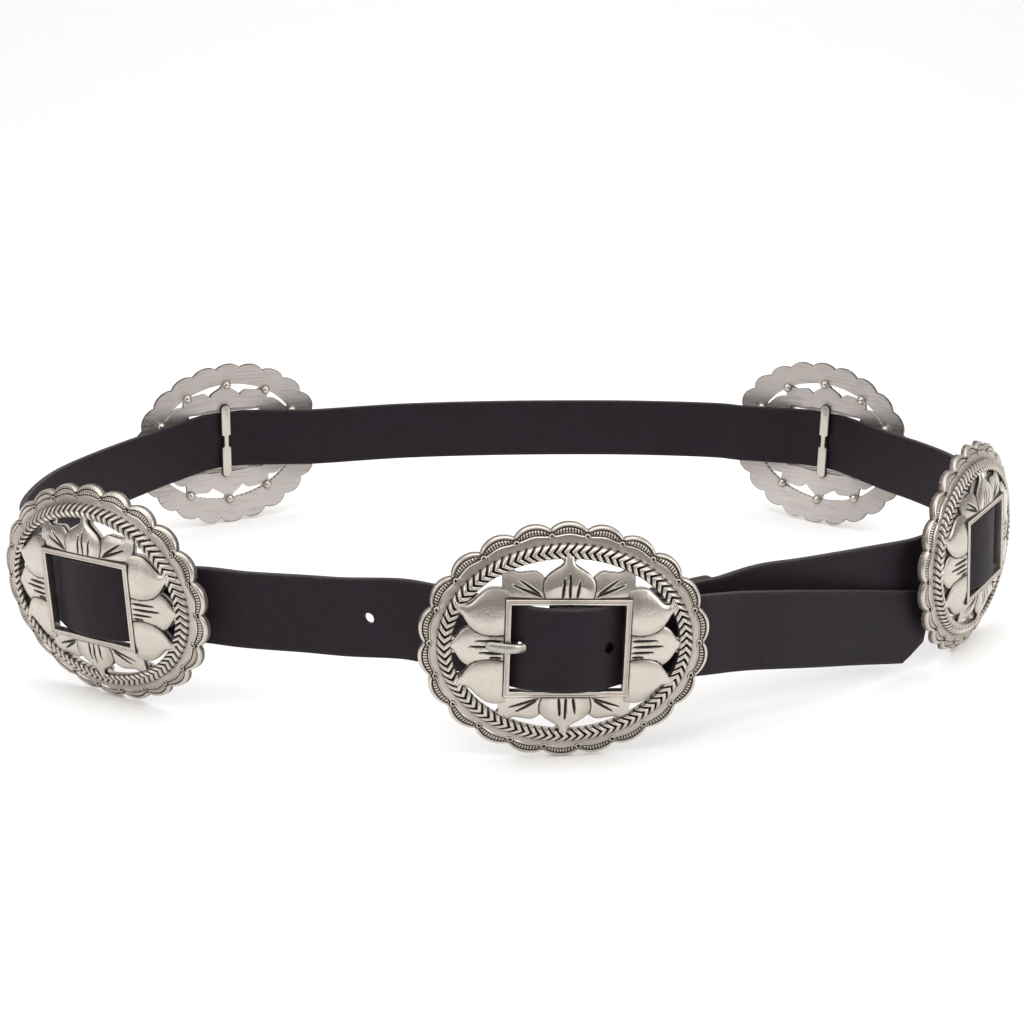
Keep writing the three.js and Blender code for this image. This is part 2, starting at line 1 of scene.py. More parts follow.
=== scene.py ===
"""Concho belt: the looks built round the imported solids.

Lengths are in millimetres and are turned to metres when a piece is finished.
Each concho has its own flat frame: x across, y up, z out of its front.
"""
import math

import bmesh
import bpy
import numpy as np
from mathutils import Matrix, Vector

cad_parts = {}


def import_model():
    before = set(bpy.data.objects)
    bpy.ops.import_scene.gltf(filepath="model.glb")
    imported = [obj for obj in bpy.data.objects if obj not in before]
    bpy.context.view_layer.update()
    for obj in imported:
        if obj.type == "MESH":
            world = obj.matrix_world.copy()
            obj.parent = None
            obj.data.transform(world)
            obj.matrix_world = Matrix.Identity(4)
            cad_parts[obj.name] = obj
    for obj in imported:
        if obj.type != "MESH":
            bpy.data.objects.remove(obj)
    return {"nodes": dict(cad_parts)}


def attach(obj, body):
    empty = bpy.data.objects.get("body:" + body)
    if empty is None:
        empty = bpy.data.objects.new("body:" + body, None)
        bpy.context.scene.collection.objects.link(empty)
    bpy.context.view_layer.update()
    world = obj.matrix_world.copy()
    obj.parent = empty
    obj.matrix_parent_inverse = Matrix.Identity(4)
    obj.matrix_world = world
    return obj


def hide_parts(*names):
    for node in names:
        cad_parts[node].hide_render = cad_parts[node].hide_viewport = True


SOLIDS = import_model()["nodes"]
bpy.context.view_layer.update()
MM = 0.001
PLAN = 100                           # millimetres in one unit of the castings' plan map

# Sizes shared with the solids
STRAP_WIDTH, STRAP_THICK = 25.4, 2.3
HOLE_SPACING, HOLE_DIAMETER = 26.9, 3.7
TONGUE_HOLE = -14.2                  # the tongue's hole along the strap from the bar
CLEAR, BAR_CLEAR = 0.3, 0.45         # between touching pieces, and between strap and bar
TIP_A, TIP_B = 43.7, 36.35           # half width and half height over the scallop tips
NOTCH_DEPTH = 1.95
SCALLOPS = 22
RING_IN, RING_WIDTH, RING_RISE = 5.8, 4.2, 1.3       # from the scallop tips in to the rope
EDGE_THICK, DOME_RISE, PLATE_THICK = 1.6, 6.4, 2.0
WINDOW_X, WINDOW_Y = 16.65, 13.15    # half sizes of the window
FRAME_WIDTH, FRAME_RISE, FRAME_THICK = 1.8, 0.6, 2.8
BAR_WIDTH, BAR_THICK, BAR_LENGTH = 4.5, 1.8, 33.5
WAIST_WIDTH, WAIST_LENGTH = 2.4, 4.4
LOOP_X, LOOP_Y = 181.5, 138.1        # half sizes of the loop
FRAME_A, FRAME_B = WINDOW_X + FRAME_WIDTH, WINDOW_Y + FRAME_WIDTH
RING_A, RING_B = TIP_A - RING_IN - RING_WIDTH, TIP_B - RING_IN - RING_WIDTH
FRAME_TOP = EDGE_THICK + DOME_RISE + FRAME_RISE
FRAME_BOTTOM = FRAME_TOP - FRAME_THICK
BAR_FRONT = FRAME_BOTTOM + 0.6
BAR_BACK = BAR_FRONT - BAR_THICK
BAR_MIDDLE = (BAR_FRONT + BAR_BACK) / 2

CENTRED = Vector((0.68, 1.69, 0))    # moves the loop so that its bounding box is centred

# Where each concho stands: x and y in shares of the loop, turn, lean and roll in degrees
PLACES = {
    "buckle": (0.059, -0.923, 5.5, 2.5, -2.1),
    "concho_right_front": (0.850, -0.265, 54.9, 3.2, 2.9),
    "concho_right_back": (0.719, 0.774, 139.4, 0.4, 0.8),
    "concho_left_back": (-0.711, 0.772, 212.8, 3.2, 0.2),
    "concho_left_front": (-0.746, -0.619, -30.3, -2.2, 0.2),
}


def standing(x, y, turn, lean, roll):
    """The matrix that stands a concho's flat frame in the loop, on its lowest scallop."""
    t, l, r = (math.radians(v) for v in (turn, lean, roll))
    u, n, z = Vector((math.cos(t), math.sin(t), 0)), Vector((math.sin(t), -math.cos(t), 0)), Vector((0, 0, 1))
    v, n2 = z * math.cos(l) - n * math.sin(l), n * math.cos(l) + z * math.sin(l)
    u2, v2 = u * math.cos(r) + v * math.sin(r), v * math.cos(r) - u * math.sin(r)
    low = math.hypot(TIP_A * u2.z, TIP_B * v2.z) + max(0, -n2.z * EDGE_THICK)
    m = Matrix((u2, v2, n2)).transposed().to_4x4()
    m.translation = Vector((x * LOOP_X, y * LOOP_Y, low)) + CENTRED
    return m


STAND = {name: standing(*p) for name, p in PLACES.items()}


# Mesh helpers -----------------------------------------------------------------

def smooth(a, b, x):
    """0 below a, 1 above b, with a soft step between."""
    t = min(1, max(0, (x - a) / (b - a)))
    return t * t * (3 - 2 * t)


def sheet(nx, ny, place, round_x=False, round_y=False):
    """A grid with its points moved to place(i, j), which also gives each one's darkness: oxide, painted shade and, on
    the strap, the pale edge.
    A round way closes on itself."""
    bm = bmesh.new()
    bmesh.ops.create_grid(bm, x_segments=nx, y_segments=ny, size=1)
    oxide_painted_shade_and_edge = bm.verts.layers.float.new("oxide_painted_shade_and_edge")
    for v in bm.verts:
        i, j = round((v.co.x + 1) * nx / 2), round((v.co.y + 1) * ny / 2)
        v.co, v[oxide_painted_shade_and_edge] = place(i % nx if round_x else i, j % ny if round_y else j)
    if round_x or round_y:
        bmesh.ops.remove_doubles(bm, verts=bm.verts, dist=1e-4)
    return bm


def capped(bm):
    """Closes the open ends and turns every face outwards."""
    bmesh.ops.holes_fill(bm, edges=[e for e in bm.edges if e.is_boundary], sides=0)
    bmesh.ops.recalc_face_normals(bm, faces=bm.faces)
    return bm


def gather(parts):
    """One bmesh from several."""
    whole = bmesh.new()
    whole.verts.layers.float.new("oxide_painted_shade_and_edge")
    for bm in parts:
        mesh = bpy.data.meshes.new("part")
        bm.to_mesh(mesh)
        bm.free()
        whole.from_mesh(mesh)
        bpy.data.meshes.remove(mesh)
    return whole


def mirrored(bm, x, y):
    """A copy mirrored across the given ways of the concho."""
    twin = bm.copy()
    bmesh.ops.scale(twin, vec=(-1 if x else 1, -1 if y else 1, 1), verts=twin.verts)
    if x != y:
        bmesh.ops.reverse_faces(twin, faces=twin.faces)
    return twin


def cut(bm, cutters):
    """Takes closed cutters away from a closed shape."""
    made = []
    for k, part in enumerate((bm, gather(cutters))):
        mesh = bpy.data.meshes.new("cut")
        part.to_mesh(mesh)
        part.free()
        made.append(bpy.data.objects.new("cut%d" % k, mesh))
        bpy.context.scene.collection.objects.link(made[k])
    body, tool = made
    m = body.modifiers.new("cut", "BOOLEAN")
    m.operation, m.solver, m.object = "DIFFERENCE", "MANIFOLD", tool
    bpy.context.view_layer.update()
    done = bpy.data.meshes.new_from_object(body.evaluated_get(bpy.context.evaluated_depsgraph_get()))
    result = bmesh.new()
    result.from_mesh(done)
    for o in made:
        bpy.data.objects.remove(o)
    bpy.data.meshes.remove(done)
    return result


def finish_piece(name, bm, material, solid, sharp):
    """Turns a shape in millimetres into a finished piece in metres, in place of its solid.
    Edges steeper than the angle sharp stay sharp."""
    bmesh.ops.scale(bm, vec=(MM, MM, MM), verts=bm.verts)
    mesh = bpy.data.meshes.new(name)
    bm.to_mesh(mesh)
    bm.free()
    mesh.shade_smooth()
    mesh.set_sharp_from_angle(angle=math.radians(sharp))
    mesh.materials.append(material)
    o = bpy.data.objects.new(name, mesh)
    bpy.context.scene.collection.objects.link(o)
    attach(o, "root")
    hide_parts(solid)


# Materials --------------------------------------------------------------------

def linear(text):
    """An sRGB hex colour as linear values."""
    c = [int(text[i:i + 2], 16) / 255 for i in (1, 3, 5)]
    return [v / 12.92 if v <= 0.04045 else ((v + 0.055) / 1.055) ** 2.4 for v in c] + [1]


def node(tree, kind, links=None, inputs=None, stops=(), **settings):
    """Adds a node with its settings, its input values and its incoming links.
    Stops of (place, hex colour) fill a colour ramp."""
    n = tree.nodes.new(kind)
    for k, v in settings.items():
        setattr(n, k, v)
    for k, v in (inputs or {}).items():
        n.inputs[k].default_value = v
    for k, v in (links or {}).items():
        tree.links.new(v, n.inputs[k])
    for k, (place, colour) in enumerate(stops):
        e = n.color_ramp.elements[k] if k < 2 else n.color_ramp.elements.new(place)
        e.position, e.color = place, linear(colour)
    return n


def across_mm(size):
    """The scale at which a pattern's features are this many millimetres across."""
    return 1 / (size * MM)


def new_material(name):
    """A material with its node tree and its shader."""
    m = bpy.data.materials.new(name)
    m.use_nodes = True
    return m, m.node_tree, m.node_tree.nodes["Principled BSDF"]


def antiqued_pewter():
    """The conchos: cast zinc alloy with an antiqued pewter plate, tumbled bright.
    The eye gets soft grey highlights on the raised work, dark oxide left in every recess,
    painted shade on the edge's outer wall, the bar's sides and the petals' slopes,
    and a flatter, cooler back with sanding lines."""
    m, t, shader = new_material("antiqued_pewter")
    where = node(t, "ShaderNodeTexCoord").outputs["Object"]
    plan = node(t, "ShaderNodeUVMap", uv_map="plan").outputs["UV"]
    oxide_painted_shade_and_edge = node(t, "ShaderNodeAttribute", attribute_name="oxide_painted_shade_and_edge").outputs["Fac"]
    brushed = node(t, "ShaderNodeAttribute", attribute_name="brushed").outputs["Fac"]
    # Clouds of tarnish, 6 mm across
    cloud = node(t, "ShaderNodeTexNoise", {"Vector": where}, {"Scale": across_mm(6.25), "Detail": 4, "Roughness": 0.6})
    # Casting grain, really 0.1 mm, drawn at 0.45 mm so that it shows
    grain = node(t, "ShaderNodeTexNoise", {"Vector": where}, {"Scale": across_mm(0.4545), "Detail": 2})
    # Sanding lines across the back, 22 mm long. The grit's are 0.1 mm apart, drawn at 0.4 mm so that they show
    stretch = node(t, "ShaderNodeMapping", {"Vector": plan}, {"Scale": (PLAN / 22.2, PLAN / 0.4, 1)})
    lines = node(t, "ShaderNodeTexNoise", {"Vector": stretch.outputs[0]}, {"Scale": 1, "Detail": 4, "Roughness": 0.7})
    streak = node(t, "ShaderNodeMath", {0: lines.outputs["Fac"]}, {1: 0.53}, operation="SUBTRACT")
    streak = node(t, "ShaderNodeMath", {0: streak.outputs[0], 1: brushed}, operation="MULTIPLY")
    # Darkness: the oxide and painted shade of the shape, clouded by the tarnish and scored by the lines
    dark = node(t, "ShaderNodeMath", {0: cloud.outputs["Fac"]}, {1: 0.5}, operation="SUBTRACT")
    dark = node(t, "ShaderNodeMath", {0: dark.outputs[0], 2: oxide_painted_shade_and_edge}, {1: 0.30}, operation="MULTIPLY_ADD")
    dark = node(t, "ShaderNodeMath", {0: streak.outputs[0], 2: dark.outputs[0]}, {1: 1.5}, operation="MULTIPLY_ADD")
    tumbled = node(t, "ShaderNodeValToRGB", {"Fac": dark.outputs[0]},
                   stops=[(0.0, "#C6BFB6"), (0.22, "#ABA299"), (0.5, "#574D47"), (0.9, "#1B1614")])
    sanded = node(t, "ShaderNodeValToRGB", {"Fac": dark.outputs[0]},
                  stops=[(0.0, "#C7C0BC"), (0.22, "#AFA7A3"), (0.5, "#6A605C"), (0.9, "#2A2624")])
    colour = node(t, "ShaderNodeMix", {0: brushed, 6: tumbled.outputs["Color"], 7: sanded.outputs["Color"]},
                  data_type="RGBA")
    t.links.new(colour.outputs[2], shader.inputs["Base Color"])
    rough = node(t, "ShaderNodeMapRange", {"Value": dark.outputs[0]}, {"To Min": 0.27, "To Max": 0.62})
    rough = node(t, "ShaderNodeMath", {0: brushed, 2: rough.outputs[0]}, {1: 0.2}, operation="MULTIPLY_ADD")
    rough = node(t, "ShaderNodeMath", {0: streak.outputs[0], 2: rough.outputs[0]}, {1: 0.5}, operation="MULTIPLY_ADD")
    t.links.new(rough.outputs[0], shader.inputs["Roughness"])
    # Thick oxide is no longer bare metal, and neither is strong painted shade
    metal = node(t, "ShaderNodeMapRange", {"Value": oxide_painted_shade_and_edge}, {"From Min": 0.35, "To Min": 1.0, "To Max": 0.35})
    t.links.new(metal.outputs[0], shader.inputs["Metallic"])
    bump = node(t, "ShaderNodeBump", {"Height": streak.outputs[0]}, {"Strength": 0.8, "Distance": 0.4 * MM})
    bump = node(t, "ShaderNodeBump", {"Height": grain.outputs["Fac"], "Normal": bump.outputs[0]},
                {"Strength": 0.18, "Distance": 0.06 * MM})
    bump = node(t, "ShaderNodeBump", {"Height": cloud.outputs["Fac"], "Normal": bump.outputs[0]},
                {"Strength": 0.35, "Distance": 0.5 * MM})
    t.links.new(bump.outputs[0], shader.inputs["Normal"])
    return m


def worn_nickel(name, base, roughness):
    """Tongue and rivet: nickel-plated stock rubbed by use.
    The eye gets one even grey sheen, brighter than the conchos, with faint rub marks."""
    m, t, shader = new_material(name)
    where = node(t, "ShaderNodeTexCoord").outputs["Object"]
    # Rub marks, really a few hundredths of a millimetre, drawn at 1.1 mm so that they show
    rubs = node(t, "ShaderNodeTexNoise", {"Vector": where}, {"Scale": across_mm(1.111), "Detail": 3})
    colour = node(t, "ShaderNodeValToRGB", {"Fac": rubs.outputs["Fac"]}, stops=[(0.2, base), (0.8, "#BDB8B2")])
    t.links.new(colour.outputs["Color"], shader.inputs["Base Color"])
    shader.inputs["Metallic"].default_value = 1
    rough = node(t, "ShaderNodeMapRange", {"Value": rubs.outputs["Fac"]},
                 {"To Min": roughness - 0.07, "To Max": roughness + 0.07})
    t.links.new(rough.outputs[0], shader.inputs["Roughness"])
    bump = node(t, "ShaderNodeBump", {"Height": rubs.outputs["Fac"]}, {"Strength": 0.15, "Distance": 0.1 * MM})
    t.links.new(bump.outputs[0], shader.inputs["Normal"])
    return m


def dyed_leather():
    """The strap: smooth drum-dyed cowhide belt leather.
    The eye gets a nearly black, dull face with a breath of plum, and paler raw cut edges."""
    m, t, shader = new_material("dyed_leather")
    where = node(t, "ShaderNodeTexCoord").outputs["Object"]
    edge = node(t, "ShaderNodeAttribute", attribute_name="oxide_painted_shade_and_edge").outputs["Fac"]
    # Pores, really 0.2 mm apart, drawn at 0.6 mm so that they show
    pores = node(t, "ShaderNodeTexVoronoi", {"Vector": where}, {"Scale": across_mm(0.625)})
    # Uneven dye, in patches 12 mm across
    dye = node(t, "ShaderNodeTexNoise", {"Vector": where}, {"Scale": across_mm(12.5), "Detail": 5, "Roughness": 0.6})
    # Specks of fibre, 0.9 mm across
    speck = node(t, "ShaderNodeTexNoise", {"Vector": where}, {"Scale": across_mm(0.909), "Detail": 3})
    face = node(t, "ShaderNodeValToRGB", {"Fac": dye.outputs["Fac"]}, stops=[(0.3, "#110A12"), (0.7, "#1A111B")])
    spots = node(t, "ShaderNodeMapRange", {"Value": speck.outputs["Fac"]},
                 {"From Min": 0.35, "From Max": 0.75, "To Min": 0, "To Max": 0.30})
    face = node(t, "ShaderNodeMix", {0: spots.outputs[0], 6: face.outputs["Color"]}, {7: linear("#2A2327")},
                data_type="RGBA")
    rim = node(t, "ShaderNodeValToRGB", {"Fac": speck.outputs["Fac"]}, stops=[(0.3, "#2C2627"), (0.7, "#474040")])
    colour = node(t, "ShaderNodeMix", {0: edge, 6: face.outputs[2], 7: rim.outputs["Color"]}, data_type="RGBA")
    t.links.new(colour.outputs[2], shader.inputs["Base Color"])
    shader.inputs["Specular IOR Level"].default_value = 0.22
    rough = node(t, "ShaderNodeMapRange", {"Value": dye.outputs["Fac"]}, {"To Min": 0.52, "To Max": 0.68})
    t.links.new(rough.outputs[0], shader.inputs["Roughness"])
    bump = node(t, "ShaderNodeBump", {"Height": pores.outputs["Distance"]}, {"Strength": 0.25, "Distance": 0.12 * MM})
    bump = node(t, "ShaderNodeBump", {"Height": dye.outputs["Fac"], "Normal": bump.outputs[0]},
                {"Strength": 0.3, "Distance": 0.8 * MM})
    t.links.new(bump.outputs[0], shader.inputs["Normal"])
    return m


# The casting ------------------------------------------------------------------

def dome_front(x, y):
    """Height of the casting's front: flat in the middle, falling to the edge."""
    r = math.hypot(x / TIP_A, y / TIP_B)
    return EDGE_THICK + DOME_RISE * (1 - min(1, max(0, (r - 0.42) / 0.58)) ** 1.35)


def dome_back(x, y):
    """Height of the casting's hollow back."""
    r = math.hypot(x / TIP_A, y / TIP_B)
    return max(0, dome_front(x, y) - PLATE_THICK - (EDGE_THICK - PLATE_THICK) * min(1, max(0, (r - 0.75) / 0.2)))


# Directions that divide the edge into scallops of equal length
TURNS = np.linspace(0, 2 * math.pi, 8801)
STEPS_ROUND = np.hypot((TIP_A - NOTCH_DEPTH) * np.diff(np.cos(TURNS)), (TIP_B - NOTCH_DEPTH) * np.diff(np.sin(TURNS)))
ROUND = np.concatenate([[0], np.cumsum(STEPS_ROUND)])


def on_oval(t, q):
    """The point t scallops along from the right end, q inside the line over the tips."""
    a = float(np.interp(t % SCALLOPS, ROUND * SCALLOPS / ROUND[-1], TURNS))
    return (TIP_A - q) * math.cos(a), (TIP_B - q) * math.sin(a)


CHORD, ARC = 5.45, 7.6               # half chord and radius of a scallop


def bulge(t):
    """How far a scallop stands out at t: 0 in a notch, 1 at its tip."""
    u = 2 * (t % 1) - 1
    low = math.sqrt(ARC ** 2 - CHORD ** 2)
    return (math.sqrt(ARC ** 2 - (u * CHORD) ** 2) - low) / (ARC - low)


COLUMNS = 44                         # columns of points in a scallop: 5 + 33 + 6
SPAN = 0.88                          # half length of the stamp in shares of the scallop's
PER_STRAND = 11                      # columns in a rope strand
STAMP_IN, STAMP_DEPTH = 1.42, 1.4    # from the edge in to the stamp, and its depth there


def stamp_column(c):
    """Where column c of a scallop lies, from 0 to 1. Three columns make one of 11 teeth."""
    lo = (1 - SPAN) / 2
    if c < 5:
        return lo * c / 5
    if c < 38:
        return lo + SPAN * (c - 5) / 33
    return 1 - lo + lo * (c - 38) / 6


def border_and_rope():
    """The band from the scalloped edge in to the rope ring, front, wall and back in one skin."""
    # Rows of points from the edge inwards: (distance in, lift, darkness), the darkness being oxide in the grooves and
    # painted shade on the edge's outer wall. The stamp's and the field's distances are shares of their depth, the
    # back's run from the rope to the edge.
    # The first two edge rows, the outer wall, are darkened as painted shade, more towards the back; the later dark rows
    # are oxide in grooves.
    edge_rows = [(0, -1.55, 0.6), (0, -0.5, 0.4), (0.07, -0.16, 0.15), (0.26, 0.24, 0.0), (0.62, 0.4, 0.0),
                 (0.98, 0.32, 0.0), (1.16, 0.08, 0.3), (1.28, -0.12, 1.0), (1.38, -0.06, 0.7)]
    stamp_rows = [(0.08, 0.14, 0.05), (0.3, 0.4, -0.1), (0.66, 0.38, -0.1), (0.93, 0.12, 0.1)]
    after_rows = [(0.08, -0.12, 1.0), (0.2, -0.02, 0.5), (0.36, 0.26, 0.0), (0.56, 0.34, 0.0), (0.8, 0.08, 0.15)]
    field_rows = [(0.35, -0.04, 0.16), (0.7, -0.06, 0.22), (0.93, -0.03, 0.3)]
    rope_rows = [-1, -0.94, -0.8, -0.6, -0.38, -0.16, 0, 0.16, 0.38, 0.6, 0.8, 0.94, 1]
    back_rows = [0.0, 0.2, 0.4, 0.6, 0.78, 0.92, 0.965, 0.995]
    rows = ([("edge",) + r for r in edge_rows] + [("stamp",) + r for r in stamp_rows]
            + [("after",) + r for r in after_rows] + [("field",) + r for r in field_rows]
            + [("rope", p, 0, 0) for p in rope_rows] + [("back", p, 0, 0) for p in back_rows])
    strand_high = [0, 0.36, 0.67, 0.87, 0.97, 1, 1, 0.97, 0.87, 0.67, 0.36]
    strand_dark = [1, 0.9, 0.34, 0.08, 0, 0, 0, 0, 0.08, 0.34, 0.9]
    lag = 0.85 / 4                   # how far a strand trails at the rope's sides, in scallops

    def place(i, j):
        kind, p, lift, dark = rows[j]
        s0, c = divmod(i, COLUMNS)
        even, worked = i / COLUMNS, s0 + stamp_column(c)
        if kind == "rope":
            t = even - lag * abs(p)
            x, y = on_oval(t, RING_IN + RING_WIDTH * (1 + p) / 2)
            k = i % PER_STRAND
            body = max(0, 1 - abs(p) ** 2.6) ** 0.5
            # The strands meet in a shallow groove along the middle, and dip deep between each other
            high = 0.15 + (RING_RISE - 0.15) * body * (1 if p else 0.93) - 1.05 * (1 - strand_high[k]) * body
            if abs(p) == 1:
                return Vector((x, y, dome_front(x, y) - 0.25 * (1 - strand_high[k]))), 0.15 + 0.8 * strand_dark[k]
            dark = max(strand_dark[k] * (1 - 0.3 * abs(p)), 0.4 * smooth(0.8, 1, abs(p)))
            return Vector((x, y, dome_front(x, y) + max(0.05, high))), dark
        if kind == "back":
            t = even - lag * (1 - p)
            q = RING_IN + RING_WIDTH - p * (RING_IN + RING_WIDTH - 0.1 - NOTCH_DEPTH * (1 - bulge(t)))
            x, y = on_oval(t, q)
            # The back's last row, at the edge, is darkened as painted shade, carrying on the outer wall's.
            return Vector((x, y, dome_back(x, y))), 0.45 if p > 0.98 else 0.0
        if kind == "field":
            t = worked + (even - lag - worked) * p
        else:
            t = worked
        u, edge_q = 2 * (t % 1) - 1, NOTCH_DEPTH * (1 - bulge(t))
        if kind == "edge":
            q = edge_q + p
        else:
            depth = STAMP_DEPTH * max(0, 1 - (abs(u) / SPAN) ** 3.2) ** 0.6
            inner = STAMP_IN + depth
            if kind == "stamp":
                q = edge_q + STAMP_IN + depth * p
                if abs(u) < SPAN:
                    if (c - 5) % 3 == 0:
                        lift, dark = -0.1, 0.62
                else:
                    dark = 0.0
            elif kind == "after":
                q = edge_q + inner + p
            else:
                start = edge_q + inner + after_rows[-1][0]
                q = start + (RING_IN - start) * p
        if kind in ("stamp", "after"):
            fade = 1 - smooth(SPAN - 0.03, SPAN + 0.1, abs(u))
            lift, dark = lift * fade, dark * fade
        x, y = on_oval(t, q)
        # A crease runs in from each notch.
        near_notch = math.exp(-((1 - abs(u)) / 0.09) ** 2) * (1 - smooth(0.9, 1.5, q - edge_q))
        if kind != "edge" or p > 0.3:
            lift -= 0.2 * near_notch
            dark = max(dark, 0.7 * near_notch)
        if kind == "edge" and p == 0 and lift < -1:
            return Vector((x, y, dome_back(x, y))), dark
        return Vector((x, y, dome_front(x, y) + lift)), dark

    bm = sheet(COLUMNS * SCALLOPS, len(rows), place, round_x=True, round_y=True)
    bmesh.ops.recalc_face_normals(bm, faces=bm.faces)
    return bm


def notch_beads():
    """The small raised rings punched at the inner end of each notch."""
    made = []
    for k in range(SCALLOPS):
        x, y = on_oval(k, NOTCH_DEPTH + 1.75)
        z = dome_front(x, y) + 0.12
        # (distance from the middle, height, oxide): dark foot, ring, dark hole
        rows = [(1.3, -0.4, 0.9), (1.16, 0.1, 1.0), (0.98, 0.08, 0.9), (0.88, 0.26, 0.1), (0.72, 0.36, 0.0),
                (0.56, 0.28, 0.1), (0.47, 0.06, 0.9), (0.3, -0.06, 1.0), (0.02, -0.08, 1.0)]

        def place(i, j, x=x, y=y, z=z):
            a = 2 * math.pi * i / 16
            r, dz, dark = rows[j]
            return Vector((x + r * math.cos(a), y + r * math.sin(a), z + dz)), dark

        made.append(capped(sheet(16, len(rows) - 1, place, round_x=True)))
    return made


def through_points(points, n):
    """n + 1 points, evenly spread, on a smooth curve through the given ones."""
    p = [np.array(q, float) for q in points]
    p = [2 * p[0] - p[1]] + p + [2 * p[-1] - p[-2]]
    fine = []
    for k in range(1, len(p) - 2):
        for s in np.linspace(0, 1, 12, endpoint=False):
            a, b, c, d = p[k - 1], p[k], p[k + 1], p[k + 2]
            fine.append(0.5 * (2 * b + (c - a) * s + (2 * a - 5 * b + 4 * c - d) * s ** 2
                               + (3 * b - a - 3 * c + d) * s ** 3))
    fine = np.array(fine + [p[-2]])
    run = np.concatenate([[0], np.cumsum(np.hypot(*np.diff(fine, axis=0).T))])
    at = np.linspace(0, run[-1], n + 1)
    return np.stack([np.interp(at, run, fine[:, 0]), np.interp(at, run, fine[:, 1])], -1)


# One quarter of the petal work: the two edges of each petal from frame to ring, its height
# and its veins, each from one point to another
TOP_EDGE = [(6.6, 14.2), (7.3, 16.4), (7.6, 18.6), (7.2, 20.4), (5.9, 22.0), (4.0, 23.3), (2.4, 24.3), (1.55, 25.3),
            (1.3, 27.2)]
SIDE_EDGE = [(17.6, 4.6), (21, 4.2), (25, 5.3), (28.4, 6.0), (30.7, 4.8), (32.2, 2.9), (33.2, 1.5), (34.4, 0.9)]
PETALS = [
    # petal beside the top one: lower edge along the frame, upper edge with a hump and a dip
    ([(4.6, 14.2), (8.5, 14.3), (12.5, 14.3), (16, 14.3), (19.5, 14.4)],
     [(4.6, 19.0), (7.0, 20.9), (9.5, 22.6), (12.4, 22.4), (15.0, 22.2), (17.4, 23.4), (19.5, 23.0)], 0.0, 0.32,
     [((8.0, 15.6), (16.3, 18.7)), ((8.6, 16.4), (14.4, 20.2))]),
    # broad leaf: under edge, then upper edge
    ([(17.6, 4.3), (21, 3.8), (24.6, 4.0), (27.6, 5.3), (29.7, 7.6), (31.0, 9.6), (32.6, 10.6)],
     [(17.6, 17.1), (20.4, 17.7), (23.2, 17.3), (25.8, 15.4), (27.9, 13.4), (29.6, 12.5), (32.2, 13.2)], 0.4, 0.5, []),
]


def petal(one, other, base, crown, veins, under=(), across=44, along=40):
    """A raised petal between two edges, rounded over at both, with tapered vein cuts.
    Oxide lies along the edge of the petal that covers it and along the window's frame. Painted shade darkens each petal
    softly towards its edges.
    The last four rows make its skirt, which ends inside the sheet behind."""
    p, q = through_points(one, along), through_points(other, along)
    ws = [0, 0.015, 0.05, 0.1] + list(np.linspace(0.15, 0.85, across - 7)) + [0.9, 0.95, 0.985, 1]
    count = len(ws) + 4

    def place(i, j):
        w = ws[j] if j < len(ws) else 1 if j < len(ws) + 2 else 0
        x, y = p[i] + (q[i] - p[i]) * w
        v = abs(2 * w - 1)
        if j >= len(ws):
            deep = 0.8 if j - len(ws) in (1, 2) else 0.12
            return Vector((x, y, dome_front(x, y) - deep)), 1.0
        out = max(abs(x) - FRAME_A, abs(y) - FRAME_B)       # how far outside the window's frame
        high = (base + crown * (1 - v ** 2.8)) * (0.85 + 0.15 * smooth(-0.3, 2.8, out))
        z = dome_front(x, y) + high - 0.12 * smooth(0.95, 1, v)
        # A petal stays below the frame's lip, and its root under the frame's face
        z = min(z, FRAME_TOP - (0.55 if out < 0.05 else 0.3))
        # Painted shade: each petal darkens softly towards its edges; the thin band at the very edge is oxide in the
        # crease.
        dark = 0.14 * smooth(0.5, 0.95, v) + 0.3 * smooth(0.96, 1, v)
        if len(under):
            near = float(np.min(np.hypot(under[:, 0] - abs(x), under[:, 1] - abs(y))))
            dark = max(dark, 0.95 * (1 - smooth(0.12, 0.5, near)))
        dark = max(dark, 0.75 * (1 - smooth(0.06, 0.5, out)))
        for (ax, ay), (bx, by) in veins:
            lx, ly = bx - ax, by - ay
            size = math.hypot(lx, ly)
            f = ((x - ax) * lx + (y - ay) * ly) / size ** 2
            off = abs((x - ax) * ly - (y - ay) * lx) / size
            if -0.08 < f < 1.08:                            # along the vein, from 0 to 1
                half = 0.16 + 0.30 * math.sin(math.pi * min(1, max(0, f)) ** 0.7)
                cutting = 1 - smooth(half * 0.35, half + 0.14, off)
                ends = smooth(-0.08, 0.06, f) * (1 - smooth(0.9, 1.08, f))
                z -= 0.42 * cutting * ends
                dark = max(dark, cutting * ends)
        return Vector((x, y, z)), dark

    return capped(sheet(along, count, place, round_y=True))


def petals():
    """All twelve petals, from one quarter's outlines."""
    made = []
    top_line, leaf_line = through_points(TOP_EDGE, 80), through_points(PETALS[1][0], 80)
    for (one, other, base, crown, veins), under in zip(PETALS, (top_line, ())):
        leaf = petal(one, other, base, crown, veins, under)
        made += [mirrored(leaf, x, y) for x in (False, True) for y in (False, True)]
        leaf.free()
    side = petal([(x, -y) for x, y in SIDE_EDGE], SIDE_EDGE, 0.0, 0.38,
                 [((19.2, 2.1), (26.6, 1.9)), ((19.4, 0.3), (28.4, 0.1)), ((19.2, -1.5), (25.6, -1.6)),
                  ((19.2, -3.0), (22.6, -2.9))], leaf_line)
    top = petal([(-x, y) for x, y in TOP_EDGE], TOP_EDGE, 0.5, 0.45,
                [((-2.0, 15.3), (-1.5, 21.2)), ((0.1, 15.3), (0.1, 22.4)), ((2.2, 15.3), (3.0, 20.4))])
    return made + [side, mirrored(side, True, False), top, mirrored(top, False, True)]


